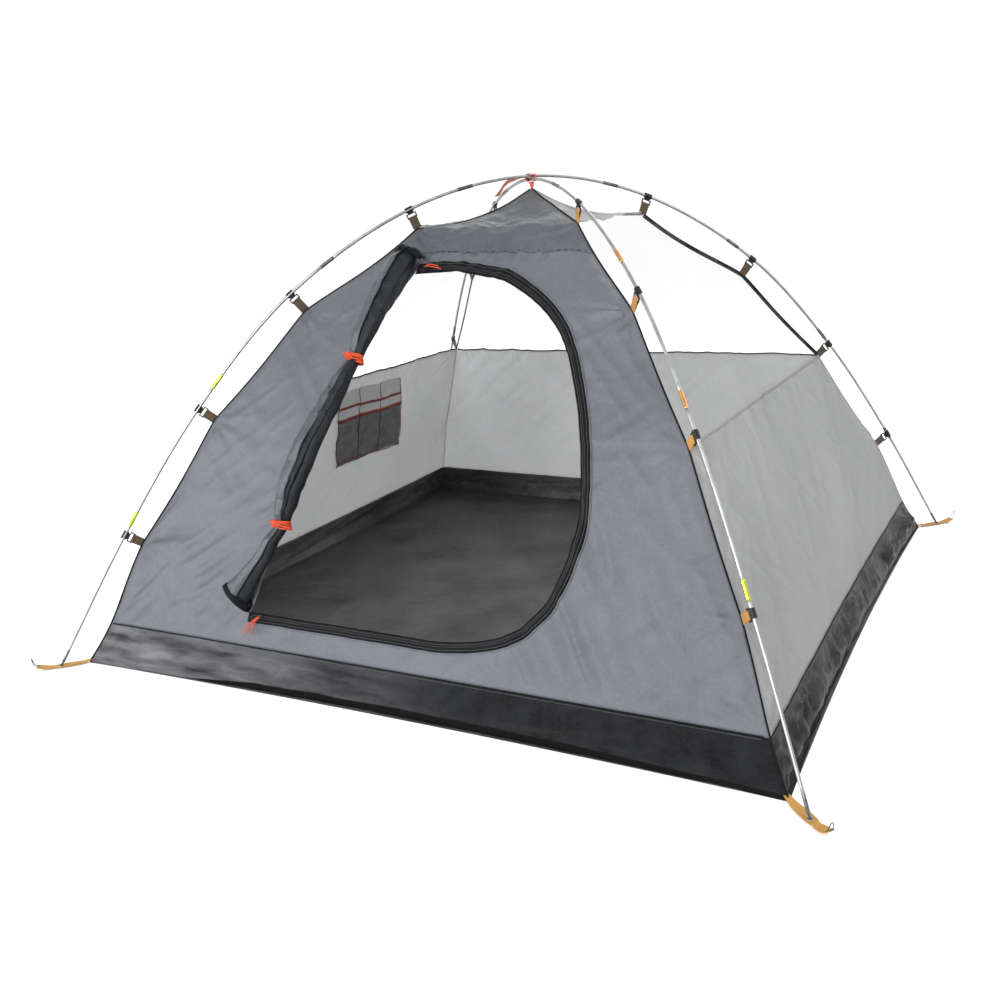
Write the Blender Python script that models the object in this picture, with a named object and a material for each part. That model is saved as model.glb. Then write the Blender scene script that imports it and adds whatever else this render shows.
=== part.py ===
"""Dome tent body pitched on two crossing poles, with clip hangers and a rolled D door.

Metres, +Z up, front towards -Y. The origin is on the ground at the middle of the floor.
Every cross-section of the tent body is a rectangle with the floor's proportions, so one
profile in the diagonal plane, from a floor corner to the peak, sets all four walls.
"""

import math

import bmesh
import bpy
import numpy as np
from mathutils import Matrix, Vector

# Driving dimensions
FLOOR_WIDTH = 2.05
FLOOR_DEPTH = 2.00
FABRIC = 0.002
SEAM_GAP = 0.0004
POLE_RADIUS = 0.00425
FERRULE_RADIUS = 0.0053
FERRULE_LENGTH = 0.045
POLE_SECTIONS = 9
POLE_SIDES = 8

# Diagonal profiles as (share of the half diagonal, height)
SEAM_PROFILE = (
    (1.0, 0.0),
    (0.949, 0.110),
    (0.862, 0.341),
    (0.693, 0.675),
    (0.491, 0.963),
    (0.25, 1.172),
)
PEAK_PROFILE = (
    (0.25, 1.172),
    (0.19, 1.177),
    (0.136, 1.189),
    (0.066, 1.220),
    (0.0, 1.269),
)
POLE_PROFILE = (
    (1.055, 0.0),
    (0.894, 0.370),
    (0.721, 0.712),
    (0.517, 1.013),
    (0.263, 1.226),
    (0.0, 1.300),
)
HANGER_SHARES = (0.894, 0.721, 0.517, 0.263)
CROSSING_SPREAD = 0.35
CROSSING_GAP = 0.0004

# Heights of the horizontal seams
TUB_TOP = 0.112
LOWER_WALL_TOP = 0.675
YOKE_SEAM = 1.105
ROOF_SEAM = 1.172
ROOF_PATCH_SHARE = 0.02

# Door outline on the front wall as (x, z): top left, round the right side, bottom left
DOOR_CURVE = (
    (-0.180, 1.073),
    (0.000, 1.073),
    (0.168, 1.034),
    (0.326, 0.937),
    (0.415, 0.800),
    (0.468, 0.640),
    (0.486, 0.480),
    (0.435, 0.320),
    (0.330, 0.222),
    (0.160, 0.181),
    (-0.020, 0.179),
    (-0.472, 0.180),
)
ZIP_WIDTH = 0.024
ZIP_THICKNESS = 0.002
ZIP_EDGE_GAP = 0.002
ROLL_TOP = (-0.200, 1.085)
ROLL_BOTTOM = (-0.462, 0.235)
ROLL_RADIUS = 0.030
# Gear pocket from bottom to top, as (height, y of its front edge, y of its back edge)
POCKET_EDGES = (
    (0.336, 0.060, 0.472),
    (0.380, 0.042, 0.461),
    (0.515, -0.012, 0.394),
    (0.560, -0.032, 0.365),
    (0.632, -0.062, 0.305),
)

# Hangers: a flat webbing strap ending in a hook that is open on one side
STRAP_HALF_THICKNESS = 0.0008
HANGER_HALF_WIDTH = 0.013
HOOK_CLEARANCE = 0.0022
HOOK_WALL = 0.0025
STRAP_START = 0.003

# Corner webbing, along the diagonal from the tub's corner
WEBBING_HALF_WIDTH = 0.015
WEBBING_END = 1.595
WEBBING_Z = (0.0008, 0.0033)
EYELET_RADIUS = 0.007
PEG_LOOP_AT = 1.577
PEG_LOOP_RADIUS = 0.010

HALF_DIAGONAL = math.hypot(FLOOR_WIDTH / 2, FLOOR_DEPTH / 2)
DIAGONAL_X = FLOOR_WIDTH / 2 / HALF_DIAGONAL
DIAGONAL_Y = FLOOR_DEPTH / 2 / HALF_DIAGONAL
CORNERS = {
    "front_left": (-1, -1),
    "front_right": (1, -1),
    "back_left": (-1, 1),
    "back_right": (1, 1),
}


# Curves

def smooth_curve(points, steps=12):
    """Dense curve that runs smoothly through the points."""
    p = np.array(points, float)
    p = np.vstack([2 * p[0] - p[1], p, 2 * p[-1] - p[-2]])
    dense = []
    for a, b, c, d in zip(p[:-3], p[1:-2], p[2:-1], p[3:]):
        for t in np.arange(steps) / steps:
            linear = 2 * b + (c - a) * t
            square = (2 * a - 5 * b + 4 * c - d) * t**2
            cube = (3 * b - 3 * c + d - a) * t**3
            dense.append((linear + square + cube) / 2)
    dense.append(p[-2])
    return np.array(dense)


def lengths_along(curve):
    steps = np.linalg.norm(np.diff(curve, axis=0), axis=1)
    return np.concatenate([[0.0], np.cumsum(steps)])


def point_at(curve, lengths, s):
    return np.array([np.interp(s, lengths, column) for column in curve.T])


def tangent_at(curve, lengths, s):
    step = 0.002
    ahead = point_at(curve, lengths, s + step) - point_at(curve, lengths, s - step)
    return ahead / np.linalg.norm(ahead)


def seam_curve():
    """Corner seam from the floor to the peak, with a corner where the top hanger pulls it."""
    lower, upper = (
        smooth_curve([(share * HALF_DIAGONAL, z) for share, z in profile])
        for profile in (SEAM_PROFILE, PEAK_PROFILE)
    )
    return np.vstack([lower[:-1], upper])


SEAM = seam_curve()
SEAM_LENGTHS = lengths_along(SEAM)


def seam_point(s, depth=0.0):
    """(distance from the tent's middle, height) on the corner seam, depth metres inside it."""
    r, z = point_at(SEAM, SEAM_LENGTHS, s)
    along_r, along_z = tangent_at(SEAM, SEAM_LENGTHS, s)
    return r - along_z * depth, max(z + along_r * depth, 0.0)


def seam_at_height(z):
    return float(np.interp(z, SEAM[:, 1], SEAM_LENGTHS))


def front_point(x, z, proud=0.0):
    """Point of the front wall's outer surface at x and z, moved out along its normal."""
    s = seam_at_height(z)
    r = point_at(SEAM, SEAM_LENGTHS, s)[0]
    along_r, along_z = tangent_at(SEAM, SEAM_LENGTHS, s)
    normal = Vector((0.0, -along_z, -along_r * DIAGONAL_Y)).normalized()
    return Vector((x, -r * DIAGONAL_Y, z)) + normal * proud


# Building solids

def material(name, colour, roughness, metallic=0.0):
    made = bpy.data.materials.new(name)
    made.use_nodes = True
    shader = made.node_tree.nodes["Principled BSDF"]
    shader.inputs["Base Color"].default_value = (*colour, 1.0)
    shader.inputs["Roughness"].default_value = roughness
    shader.inputs["Metallic"].default_value = metallic
    return made


def solid(name, points, faces, finish, frame=None):
    """Closed mesh object with its faces turned outwards. frame places its own axes."""
    shape = bmesh.new()
    placed = frame.inverted() if frame is not None else Matrix()
    vertices = [shape.verts.new(placed @ Vector(p)) for p in points]
    for face in faces:
        shape.faces.new([vertices[i] for i in face])
    bmesh.ops.recalc_face_normals(shape, faces=shape.faces)
    mesh = bpy.data.meshes.new(name)
    shape.to_mesh(mesh)
    shape.free()
    mesh.materials.append(finish)
    made = bpy.data.objects.new(name, mesh)
    if frame is not None:
        made.matrix_world = frame
    bpy.context.scene.collection.objects.link(made)
    return made


def loft(name, rings, finish, frame=None):
    """Solid whose skin joins equal rings of points in turn, with both ends closed."""
    count = len(rings[0])
    points = [p for ring in rings for p in ring]
    faces = [tuple(range(count))]
    faces.append(tuple(range(len(points) - count, len(points))))
    for k in range(len(rings) - 1):
        for i in range(count):
            j = (i + 1) % count
            low, high = k * count, (k + 1) * count
            faces.append((low + i, low + j, high + j, high + i))
    return solid(name, points, faces, finish, frame)


def prism(name, outline, direction, finish, frame=None):
    """Solid swept from a flat outline along a straight direction."""
    start = [Vector(p) for p in outline]
    end = [p + Vector(direction) for p in start]
    return loft(name, [start, end], finish, frame)


def shade_round(made):
    made.data.shade_smooth()
    made.data.set_sharp_from_angle(angle=math.radians(40))


def cut(target, cutter):
    cutter.hide_render = True
    cutter.display_type = "WIRE"
    change = target.modifiers.new("cut", "BOOLEAN")
    change.operation = "DIFFERENCE"
    change.solver = "EXACT"
    change.object = cutter


# Canopy

def wall_point(side, r, z, end, inset):
    """Corner point of a wall. end is -1 or 1 along the wall, inset keeps the seam's gap."""
    x, y = r * DIAGONAL_X, r * DIAGONAL_Y
    if side in ("front", "back"):
        return Vector((end * (x - inset), y if side == "back" else -y, z))
    return Vector((x if side == "right" else -x, end * (y - inset), z))


def wall(name, side, low, high, rows, finish):
    """Wall panel between two heights, FABRIC thick, clear of the panels it is sewn to."""
    first = seam_at_height(low) + (SEAM_GAP if low > 0 else 0.0)
    last = seam_at_height(high) - SEAM_GAP
    rings = []
    for s in np.linspace(first, last, rows):
        outer = seam_point(s)
        inner = seam_point(s, FABRIC)
        rings.append(
            [
                wall_point(side, *outer, -1, SEAM_GAP),
                wall_point(side, *outer, 1, SEAM_GAP),
                wall_point(side, *inner, 1, SEAM_GAP),
                wall_point(side, *inner, -1, SEAM_GAP),
            ]
        )
    return loft(name, rings, finish)


def make_floor(finish):
    inset = 0.004
    x, y = FLOOR_WIDTH / 2 - inset, FLOOR_DEPTH / 2 - inset
    outline = [(-x, -y, 0), (x, -y, 0), (x, y, 0), (-x, y, 0)]
    return prism("floor", outline, (0, 0, FABRIC), finish)


def make_roof(finish):
    """Left, back and right roof triangles with the patch at the peak, in one panel."""
    first = seam_at_height(ROOF_SEAM) + SEAM_GAP
    last = float(np.interp(-ROOF_PATCH_SHARE * HALF_DIAGONAL, -SEAM[:, 0], SEAM_LENGTHS))
    points = []
    rows = 6
    for s in np.linspace(first, last, rows):
        for depth in (0.0, FABRIC):
            r, z = seam_point(s, depth)
            points.append(wall_point("left", r, z, -1, SEAM_GAP))
            points.append(wall_point("left", r, z, 1, 0.0))
            points.append(wall_point("right", r, z, 1, 0.0))
            points.append(wall_point("right", r, z, -1, SEAM_GAP))
    faces = []
    for k in range(rows - 1):
        low, high = 8 * k, 8 * (k + 1)
        for i in range(3):
            faces.append((low + i, low + i + 1, high + i + 1, high + i))
            faces.append((low + i + 4, low + i + 5, high + i + 5, high + i + 4))
        faces.append((low, low + 4, high + 4, high))
        faces.append((low + 3, low + 7, high + 7, high + 3))
    for i in range(3):
        faces.append((i, i + 1, i + 5, i + 4))
    top = 8 * (rows - 1)
    faces.append((top, top + 1, top + 2, top + 3))
    faces.append((top + 4, top + 5, top + 6, top + 7))
    faces.append((top, top + 3, top + 7, top + 4))
    return solid("roof_mesh", points, faces, finish)


def make_yoke(finish):
    """Front panel over the door, from the gathered seam up to the peak."""
    first = seam_at_height(YOKE_SEAM) + SEAM_GAP
    share = ROOF_PATCH_SHARE + 0.008
    last = float(np.interp(-share * HALF_DIAGONAL, -SEAM[:, 0], SEAM_LENGTHS))
    rings = []
    for s in np.linspace(first, last, 8):
        outer, inner = seam_point(s), seam_point(s, FABRIC)
        rings.append([wall_point("front", *outer, end, SEAM_GAP) for end in (-1, 1)])
        rings[-1] += [wall_point("front", *inner, end, SEAM_GAP) for end in (1, -1)]
    return loft("front_yoke", rings, finish)


def make_front_wall(finish):
    made = wall("front_wall", "front", TUB_TOP, YOKE_SEAM, 12, finish)
    outline = [(x, -FLOOR_DEPTH, z) for x, z in smooth_curve(DOOR_CURVE, 4)]
    cut(made, prism("door_cutter", outline, (0, FLOOR_DEPTH, 0), finish))
    return made


def make_canopy(finishes):
    make_floor(finishes["floor"])
    for side in ("front", "back", "left", "right"):
        wall(f"tub_{side}", side, 0.0, TUB_TOP, 3, finishes["tub"])
    for side in ("back", "left", "right"):
        wall(f"lower_wall_{side}", side, TUB_TOP, LOWER_WALL_TOP, 7, finishes["light"])
        wall(f"mesh_wall_{side}", side, LOWER_WALL_TOP, ROOF_SEAM, 7, finishes["mesh"])
    make_front_wall(finishes["grey"])
    make_yoke(finishes["grey"])
    make_roof(finishes["mesh"])


# Door

def inward_offsets(curve):
    """Unit vectors across the door curve, towards the opening, at each of its points."""
    along = np.gradient(curve, axis=0)
    along /= np.linalg.norm(along, axis=1)[:, None]
    return np.column_stack([along[:, 1], -along[:, 0]])


def make_zip(finish):
    """Zip tape along the top, right and bottom of the door, set in the wall's opening."""
    curve = smooth_curve(DOOR_CURVE, 4)
    curve[0, 0] += ZIP_WIDTH / 4
    curve[-1, 0] += ZIP_WIDTH / 2
    across = inward_offsets(curve)
    middle = -FABRIC / 2
    rings = []
    for (x, z), (dx, dz) in zip(curve, across):
        ring = []
        for share, proud in ((0, 1), (1, 1), (1, -1), (0, -1)):
            reach = ZIP_EDGE_GAP + share * ZIP_WIDTH
            height = middle + proud * ZIP_THICKNESS / 2
            ring.append(front_point(x + dx * reach, z + dz * reach, height))
        rings.append(ring)
    return loft("door_zip", rings, finish)


def make_rolled_door(finish):
    """The door panel rolled up along its sewn left edge, thicker towards the bottom."""
    rings = []
    hinge = (front_point(*DOOR_CURVE[0]) + front_point(*DOOR_CURVE[-1])) / 2
    for share in np.linspace(0.0, 1.0, 15):
        x = ROLL_TOP[0] + (ROLL_BOTTOM[0] - ROLL_TOP[0]) * share
        z = ROLL_TOP[1] + (ROLL_BOTTOM[1] - ROLL_TOP[1]) * share
        radius = ROLL_RADIUS * (0.72 + 0.28 * math.sin(math.pi * min(share + 0.15, 1) / 1.3))
        skin = front_point(x, z)
        out = front_point(x, z, 1.0) - skin
        centre = skin + out * (radius * 0.8 + 0.004)
        side = Vector((1.0, 0.0, 0.0))
        ring = []
        for turn in np.linspace(0, 2 * math.pi, 12, endpoint=False):
            across = side * (math.cos(turn) * radius) + out * (math.sin(turn) * radius * 0.8)
            ring.append(centre + across)
        rings.append(ring)
    made = loft("rolled_door", rings, finish, Matrix.Translation(hinge))
    shade_round(made)
    return made


def make_slider(name, x, z, finish):
    """Zip slider with its pull hanging down, riding on the front of the tape."""
    body, tall, wide, pull, pull_depth = 0.005, 0.010, 0.012, 0.032, 0.0015
    clear = -FABRIC / 2 + ZIP_THICKNESS / 2 + SEAM_GAP
    origin = front_point(x, z, clear)
    out = (front_point(x, z, 1.0) - front_point(x, z)).normalized()
    up = Vector((1.0, 0.0, 0.0)).cross(out)
    if up.z < 0:
        up = -up
    profile = (
        (0, -tall / 2),
        (0, tall / 2),
        (body, tall / 2),
        (body, -tall / 2 - pull),
        (body - pull_depth, -tall / 2 - pull),
        (body - pull_depth, -tall / 2),
    )
    shift = Vector((-wide / 2, 0, 0))
    outline = [origin + out * u + up * v + shift for u, v in profile]
    return prism(name, outline, (wide, 0, 0), finish, Matrix.Translation(origin))


def make_door(finishes):
    make_zip(finishes["zip"])
    make_rolled_door(finishes["roll"])
    middle = ZIP_EDGE_GAP + ZIP_WIDTH / 2
    make_slider("zip_slider_top", -0.145, DOOR_CURVE[0][1] - middle, finishes["cord"])
    make_slider("zip_slider_bottom", -0.425, DOOR_CURVE[-1][1] + middle, finishes["cord"])


# Inside and trim

def make_pocket(finish):
    """Flat mesh gear pocket sewn to the inside of the left wall."""
    rings = []
    for height, start, end in POCKET_EDGES:
        s = seam_at_height(height)
        near, far = seam_point(s, FABRIC + 0.001), seam_point(s, FABRIC + 0.005)
        ring = []
        for (r, z), y in ((near, start), (near, end), (far, end), (far, start)):
            ring.append(Vector((-r * DIAGONAL_X, y, z)))
        rings.append(ring)
    return loft("gear_pocket", rings, finish)


def make_apex_ribbon(finish):
    """Ribbon loop round both poles where they cross, sewn to the peak by its stem."""
    peak = SEAM[-1][1]
    crossing = POLE_PROFILE[-1][1]
    reach = 2 * POLE_RADIUS + CROSSING_GAP + 0.0008
    wide, thick, stem, half_depth = 0.0168, 0.0015, 0.006, 0.008
    low, high = crossing - reach, crossing + reach
    outline = [
        (-stem, peak - 0.004),
        (stem, peak - 0.004),
        (stem, low - thick),
        (wide + thick, low - thick),
        (wide + thick, high + thick),
        (-wide - thick, high + thick),
        (-wide - thick, low - thick),
        (-stem, low - thick),
    ]
    hole = [(-wide, low), (wide, low), (wide, high), (-wide, high)]
    front = -half_depth
    shape = [(x, front, z) for x, z in outline]
    made = prism("apex_ribbon", shape, (0, 2 * half_depth, 0), finish)
    shape = [(x, 2 * front, z) for x, z in hole]
    cut(made, prism("ribbon_cutter", shape, (0, 4 * half_depth, 0), finish))
    return made


def make_corner_webbing(corner, signs, finish):
    """Webbing strap flat on the ground, with the eyelet for the pole tip and a peg loop."""
    along = Vector((signs[0] * DIAGONAL_X, signs[1] * DIAGONAL_Y, 0.0))
    across = Vector((-along.y, along.x, 0.0))
    start = HALF_DIAGONAL + 0.003
    low, high = WEBBING_Z
    corners = ((start, -1), (WEBBING_END, -1), (WEBBING_END, 1), (start, 1))
    outline = []
    for reach, side in corners:
        point = along * reach + across * side * WEBBING_HALF_WIDTH
        outline.append(point + Vector((0, 0, low)))
    made = prism(f"corner_webbing_{corner}", outline, (0, 0, high - low), finish)
    foot = POLE_PROFILE[0][0] * HALF_DIAGONAL - high / 2
    holes = (("eyelet", foot, EYELET_RADIUS), ("peg", PEG_LOOP_AT, PEG_LOOP_RADIUS))
    for part, reach, radius in holes:
        ring = []
        for turn in np.linspace(0, 2 * math.pi, 12, endpoint=False):
            offset = Vector((math.cos(turn), math.sin(turn), 0)) * radius
            ring.append(along * reach + offset + Vector((0, 0, low - 0.002)))
        hole = prism(f"{part}_cutter_{corner}", ring, (0, 0, high - low + 0.004), finish)
        cut(made, hole)
    return made


# Poles and hangers

def pole_curve(signs, lift):
    """Centre line of a pole from the floor corner with these signs to the opposite one."""
    half = [(share * HALF_DIAGONAL, z) for share, z in POLE_PROFILE]
    profile = half + [(-r, z) for r, z in reversed(half[:-1])]
    curve = []
    for r, z in smooth_curve(profile):
        raised = z + lift * math.exp(-((r / CROSSING_SPREAD) ** 2))
        curve.append((signs[0] * DIAGONAL_X * r, signs[1] * DIAGONAL_Y * r, raised))
    return np.array(curve)


def tube(name, curve, lengths, stations, across, finish):
    """Round rod through (distance along the pole, radius) stations."""
    rings = []
    for s, radius in stations:
        centre = Vector(point_at(curve, lengths, s))
        along = Vector(tangent_at(curve, lengths, s))
        up = along.cross(across).normalized()
        ring = []
        for k in range(POLE_SIDES):
            turn = 2 * math.pi * (k + 0.5) / POLE_SIDES
            ring.append(centre + across * radius * math.cos(turn) + up * radius * math.sin(turn))
        rings.append(ring)
    made = loft(name, rings, finish)
    shade_round(made)
    return made


def section_stations(start, end, first, last):
    """Radii along one pole section: a tip at each end of the pole, a ferrule at each joint."""
    nose, shoulder, step = 0.0025, 0.0042, 0.0006
    nose_end, tip_end = 0.018, 0.055
    low, high = start, end
    head, tail = [], []
    if first:
        low = start + tip_end + 0.001
        head = [(start, nose), (start + nose_end, nose), (start + nose_end + 0.001, shoulder)]
        head += [(start + tip_end, shoulder), (low, POLE_RADIUS)]
    else:
        low = start + FERRULE_LENGTH
        head = [(start, FERRULE_RADIUS), (low - step, FERRULE_RADIUS), (low, POLE_RADIUS)]
    if last:
        high = end - tip_end - 0.001
        tail = [(high, POLE_RADIUS), (end - tip_end, shoulder)]
        tail += [(end - nose_end - 0.001, shoulder), (end - nose_end, nose), (end, nose)]
    else:
        tail = [(high, POLE_RADIUS)]
    middle = [(s, POLE_RADIUS) for s in np.linspace(low, high, 6)]
    return head + middle[1:-1] + tail


def make_pole(letter, signs, lift, finish):
    """The sections of one pole, each its own object, end to end from corner to corner."""
    curve = pole_curve(signs, lift)
    lengths = lengths_along(curve)
    ground = 0.003
    total = lengths[-1]
    across = Vector((signs[1] * DIAGONAL_Y, -signs[0] * DIAGONAL_X, 0.0)).normalized()
    for k in range(POLE_SECTIONS):
        first, last = k == 0, k == POLE_SECTIONS - 1
        start = ground if first else total * k / POLE_SECTIONS + CROSSING_GAP / 2
        end = total - ground if last else total * (k + 1) / POLE_SECTIONS - CROSSING_GAP / 2
        stations = section_stations(start, end, first, last)
        tube(f"pole_{letter}_section_{k + 1}", curve, lengths, stations, across, finish)
    return curve, lengths


def hanger_frame(signs, curve, lengths, share, far_end):
    """Axes of a hanger and its reach: origin on the seam, X out to the pole, Z along it."""
    radii = np.hypot(curve[:, 0], curve[:, 1]) * np.sign(curve[:, 0] * signs[0])
    order = np.argsort(radii)
    s = float(np.interp(share * HALF_DIAGONAL, radii[order], lengths[order]))
    on_pole = Vector(point_at(curve, lengths, s))
    along = Vector(tangent_at(curve, lengths, s))
    if far_end:
        along = -along
    heights = {h: p for h, p in zip(HANGER_SHARES, SEAM_PROFILE[2:6])}
    seam_share, seam_z = heights[share]
    x = signs[0] * DIAGONAL_X * seam_share * HALF_DIAGONAL
    y = signs[1] * DIAGONAL_Y * seam_share * HALF_DIAGONAL
    gap = on_pole - Vector((x, y, seam_z))
    out = gap - along * gap.dot(along)
    reach = out.length
    out.normalize()
    side = along.cross(out)
    origin = on_pole - out * reach
    frame = Matrix((out, side, along)).transposed().to_4x4()
    return Matrix.Translation(origin) @ frame, reach


def make_hanger(name, frame, reach, finish):
    """Strap and hook in one profile: the hook's mouth faces its own +Y."""
    inner = POLE_RADIUS + HOOK_CLEARANCE
    outer = inner + HOOK_WALL
    thin = STRAP_HALF_THICKNESS
    profile = (
        (STRAP_START, -thin),
        (STRAP_START, thin),
        (reach - outer, thin),
        (reach - outer, outer),
        (reach - inner, outer),
        (reach - inner, -inner),
        (reach + inner, -inner),
        (reach + inner, outer),
        (reach + outer, outer),
        (reach + outer, -outer),
        (reach - outer, -outer),
        (reach - outer, -thin),
    )
    outline = [frame @ Vector((u, v, -HANGER_HALF_WIDTH)) for u, v in profile]
    width = frame.to_3x3() @ Vector((0, 0, 2 * HANGER_HALF_WIDTH))
    return prism(name, outline, width, finish, frame)


def make_poles(finishes):
    lift = POLE_RADIUS + CROSSING_GAP / 2
    pairs = (
        ("a", "front_left", "back_right", lift),
        ("b", "front_right", "back_left", -lift),
    )
    for letter, start, end, rise in pairs:
        curve, lengths = make_pole(letter, CORNERS[start], rise, finishes["pole"])
        for corner in (start, end):
            for k, share in enumerate(HANGER_SHARES):
                far_end = corner == end
                frame, reach = hanger_frame(CORNERS[corner], curve, lengths, share, far_end)
                make_hanger(f"hanger_{corner}_{k + 1}", frame, reach, finishes["strap"])


def main():
    for old in list(bpy.data.objects):
        bpy.data.objects.remove(old, do_unlink=True)
    finishes = {
        "grey": material("grey_fabric", (0.26, 0.28, 0.31), 0.7),
        "light": material("light_fabric", (0.42, 0.42, 0.44), 0.8),
        "mesh": material("fine_mesh", (0.60, 0.60, 0.59), 0.9),
        "tub": material("coated_tub", (0.08, 0.085, 0.09), 0.45),
        "floor": material("coated_floor", (0.08, 0.08, 0.08), 0.5),
        "zip": material("zip_tape", (0.02, 0.02, 0.022), 0.6),
        "roll": material("rolled_fabric", (0.06, 0.065, 0.07), 0.7),
        "cord": material("pull_cord", (0.80, 0.12, 0.04), 0.6),
        "pole": material("aluminium_pole", (0.55, 0.56, 0.55), 0.3, 1.0),
        "strap": material("ochre_webbing", (0.48, 0.25, 0.05), 0.8),
        "pocket": material("dark_mesh", (0.05, 0.04, 0.04), 0.8),
        "ribbon": material("red_ribbon", (0.60, 0.09, 0.04), 0.6),
    }
    make_canopy(finishes)
    make_door(finishes)
    make_pocket(finishes["pocket"])
    make_apex_ribbon(finishes["ribbon"])
    for corner, signs in CORNERS.items():
        make_corner_webbing(corner, signs, finishes["strap"])
    make_poles(finishes)


main()
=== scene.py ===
import math

import bmesh
import bpy
import numpy as np
from mathutils import Matrix, Vector


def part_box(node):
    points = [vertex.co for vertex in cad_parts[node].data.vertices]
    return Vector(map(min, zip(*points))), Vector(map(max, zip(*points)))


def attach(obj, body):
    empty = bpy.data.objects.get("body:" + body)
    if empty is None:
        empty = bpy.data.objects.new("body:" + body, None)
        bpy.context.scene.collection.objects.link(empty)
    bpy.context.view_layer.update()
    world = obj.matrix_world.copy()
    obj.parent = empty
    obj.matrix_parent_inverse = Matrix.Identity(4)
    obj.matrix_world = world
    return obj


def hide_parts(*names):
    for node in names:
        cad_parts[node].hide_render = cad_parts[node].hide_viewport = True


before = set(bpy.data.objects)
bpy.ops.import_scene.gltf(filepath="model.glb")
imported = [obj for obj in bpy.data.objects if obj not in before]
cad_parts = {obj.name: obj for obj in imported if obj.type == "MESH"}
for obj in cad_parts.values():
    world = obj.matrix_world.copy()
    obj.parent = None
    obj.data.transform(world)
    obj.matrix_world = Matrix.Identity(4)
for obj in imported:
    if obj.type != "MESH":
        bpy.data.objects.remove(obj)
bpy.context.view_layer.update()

# Lengths are metres in the frame's own axes: front towards -Y, ground at z = 0.
ROOT = "tent"
HALF_X = float(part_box("tub_front")[1][0]) + 0.0004
HALF_Y = -float(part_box("tub_front")[0][1])
HALF_DIAGONAL = math.hypot(HALF_X, HALF_Y)
DIAGONAL_X = HALF_X / HALF_DIAGONAL
DIAGONAL_Y = HALF_Y / HALF_DIAGONAL

# The part's own profiles, as (share of the half diagonal, height)
SEAM_PROFILE = (
    (1.0, 0.0),
    (0.949, 0.110),
    (0.862, 0.341),
    (0.693, 0.675),
    (0.491, 0.963),
    (0.25, 1.172),
)
PEAK_PROFILE = (
    (0.25, 1.172),
    (0.19, 1.177),
    (0.136, 1.189),
    (0.066, 1.220),
    (0.0, 1.269),
)
POLE_PROFILE = (
    (1.055, 0.0),
    (0.894, 0.370),
    (0.721, 0.712),
    (0.517, 1.013),
    (0.263, 1.226),
    (0.0, 1.300),
)
HANGER_SHARES = (0.894, 0.721, 0.517, 0.263)
POLE_RADIUS = 0.00425
FERRULE_RADIUS = 0.0053
FERRULE_LENGTH = 0.045
POLE_SECTIONS = 9
CROSSING_SPREAD = 0.35
CROSSING_GAP = 0.0004
CORNERS = {
    "front_left": (-1, -1),
    "front_right": (1, -1),
    "back_left": (-1, 1),
    "back_right": (1, 1),
}

TUB_TOP = 0.112
LOWER_WALL_TOP = 0.675
YOKE_SEAM = 1.105
ROOF_SEAM = 1.172

DOOR_CURVE = (
    (-0.180, 1.073),
    (0.000, 1.073),
    (0.168, 1.034),
    (0.326, 0.937),
    (0.415, 0.800),
    (0.468, 0.640),
    (0.486, 0.480),
    (0.435, 0.320),
    (0.330, 0.222),
    (0.160, 0.181),
    (-0.020, 0.179),
    (-0.472, 0.180),
)
# Rolled door from top to bottom as (x, z, half width)
ROLL_PROFILE = (
    (-0.212, 1.090, 0.028),
    (-0.214, 1.060, 0.037),
    (-0.226, 0.990, 0.034),
    (-0.243, 0.900, 0.030),
    (-0.262, 0.835, 0.018),
    (-0.280, 0.780, 0.027),
    (-0.324, 0.640, 0.037),
    (-0.356, 0.530, 0.037),
    (-0.372, 0.470, 0.030),
    (-0.384, 0.425, 0.019),
    (-0.404, 0.380, 0.023),
    (-0.428, 0.335, 0.024),
    (-0.460, 0.285, 0.027),
    (-0.498, 0.232, 0.030),
)
TIE_HEIGHTS = (0.835, 0.425)

# Cloth and trim thicknesses, and how far pieces stand off the walls
CLOTH_THICKNESS = 0.0008
TAPE_THICKNESS = 0.0012
HEM_TAPE_THICKNESS = 0.0016
STRAP_THICKNESS = 0.0009
WEBBING_THICKNESS = 0.0014
RIBBON_THICKNESS = 0.0007
SKIN_DEPTH = 0.0006
PIPING_PROUD = 0.0008
STITCH_PROUD = 0.0004
PROBE = 0.01
LEAST_HEIGHT = 0.0006


# Camera, turned and raised round a point inside the tent

CAMERA_AZIMUTH = math.radians(27.15)
CAMERA_ELEVATION = math.radians(15.69)
CAMERA_ROLL = math.radians(-3.06)
CAMERA_DISTANCE = 3.518
CAMERA_TARGET = Vector((-0.058, 0.0, 0.306))
SENSOR = 36.0
FOCAL_SHARE = 1.0819
CAMERA_SHIFT = (-0.0309, -0.0033)


def make_camera():
    back = Vector(
        (
            math.sin(CAMERA_AZIMUTH) * math.cos(CAMERA_ELEVATION),
            -math.cos(CAMERA_AZIMUTH) * math.cos(CAMERA_ELEVATION),
            math.sin(CAMERA_ELEVATION),
        )
    )
    right = Vector((0, 0, 1)).cross(back).normalized()
    axes = Matrix((right, back.cross(right), back)).transposed().to_4x4()
    lens = bpy.data.cameras.new("camera")
    lens.sensor_width = SENSOR
    lens.lens = SENSOR * FOCAL_SHARE
    lens.shift_x, lens.shift_y = CAMERA_SHIFT
    lens.dof.use_dof = False
    camera = bpy.data.objects.new("camera", lens)
    place = Matrix.Translation(CAMERA_TARGET + back * CAMERA_DISTANCE)
    camera.matrix_world = place @ axes @ Matrix.Rotation(CAMERA_ROLL, 4, "Z")
    bpy.context.scene.collection.objects.link(camera)
    bpy.context.scene.camera = camera


# Studio

GROUND_REACH = 60.0
GROUND_COLOUR = (0.98, 0.98, 0.98, 1)
WORLD_STRENGTH = 1.03
LAMP_TARGET = Vector((0, 0, 0.5))
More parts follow.
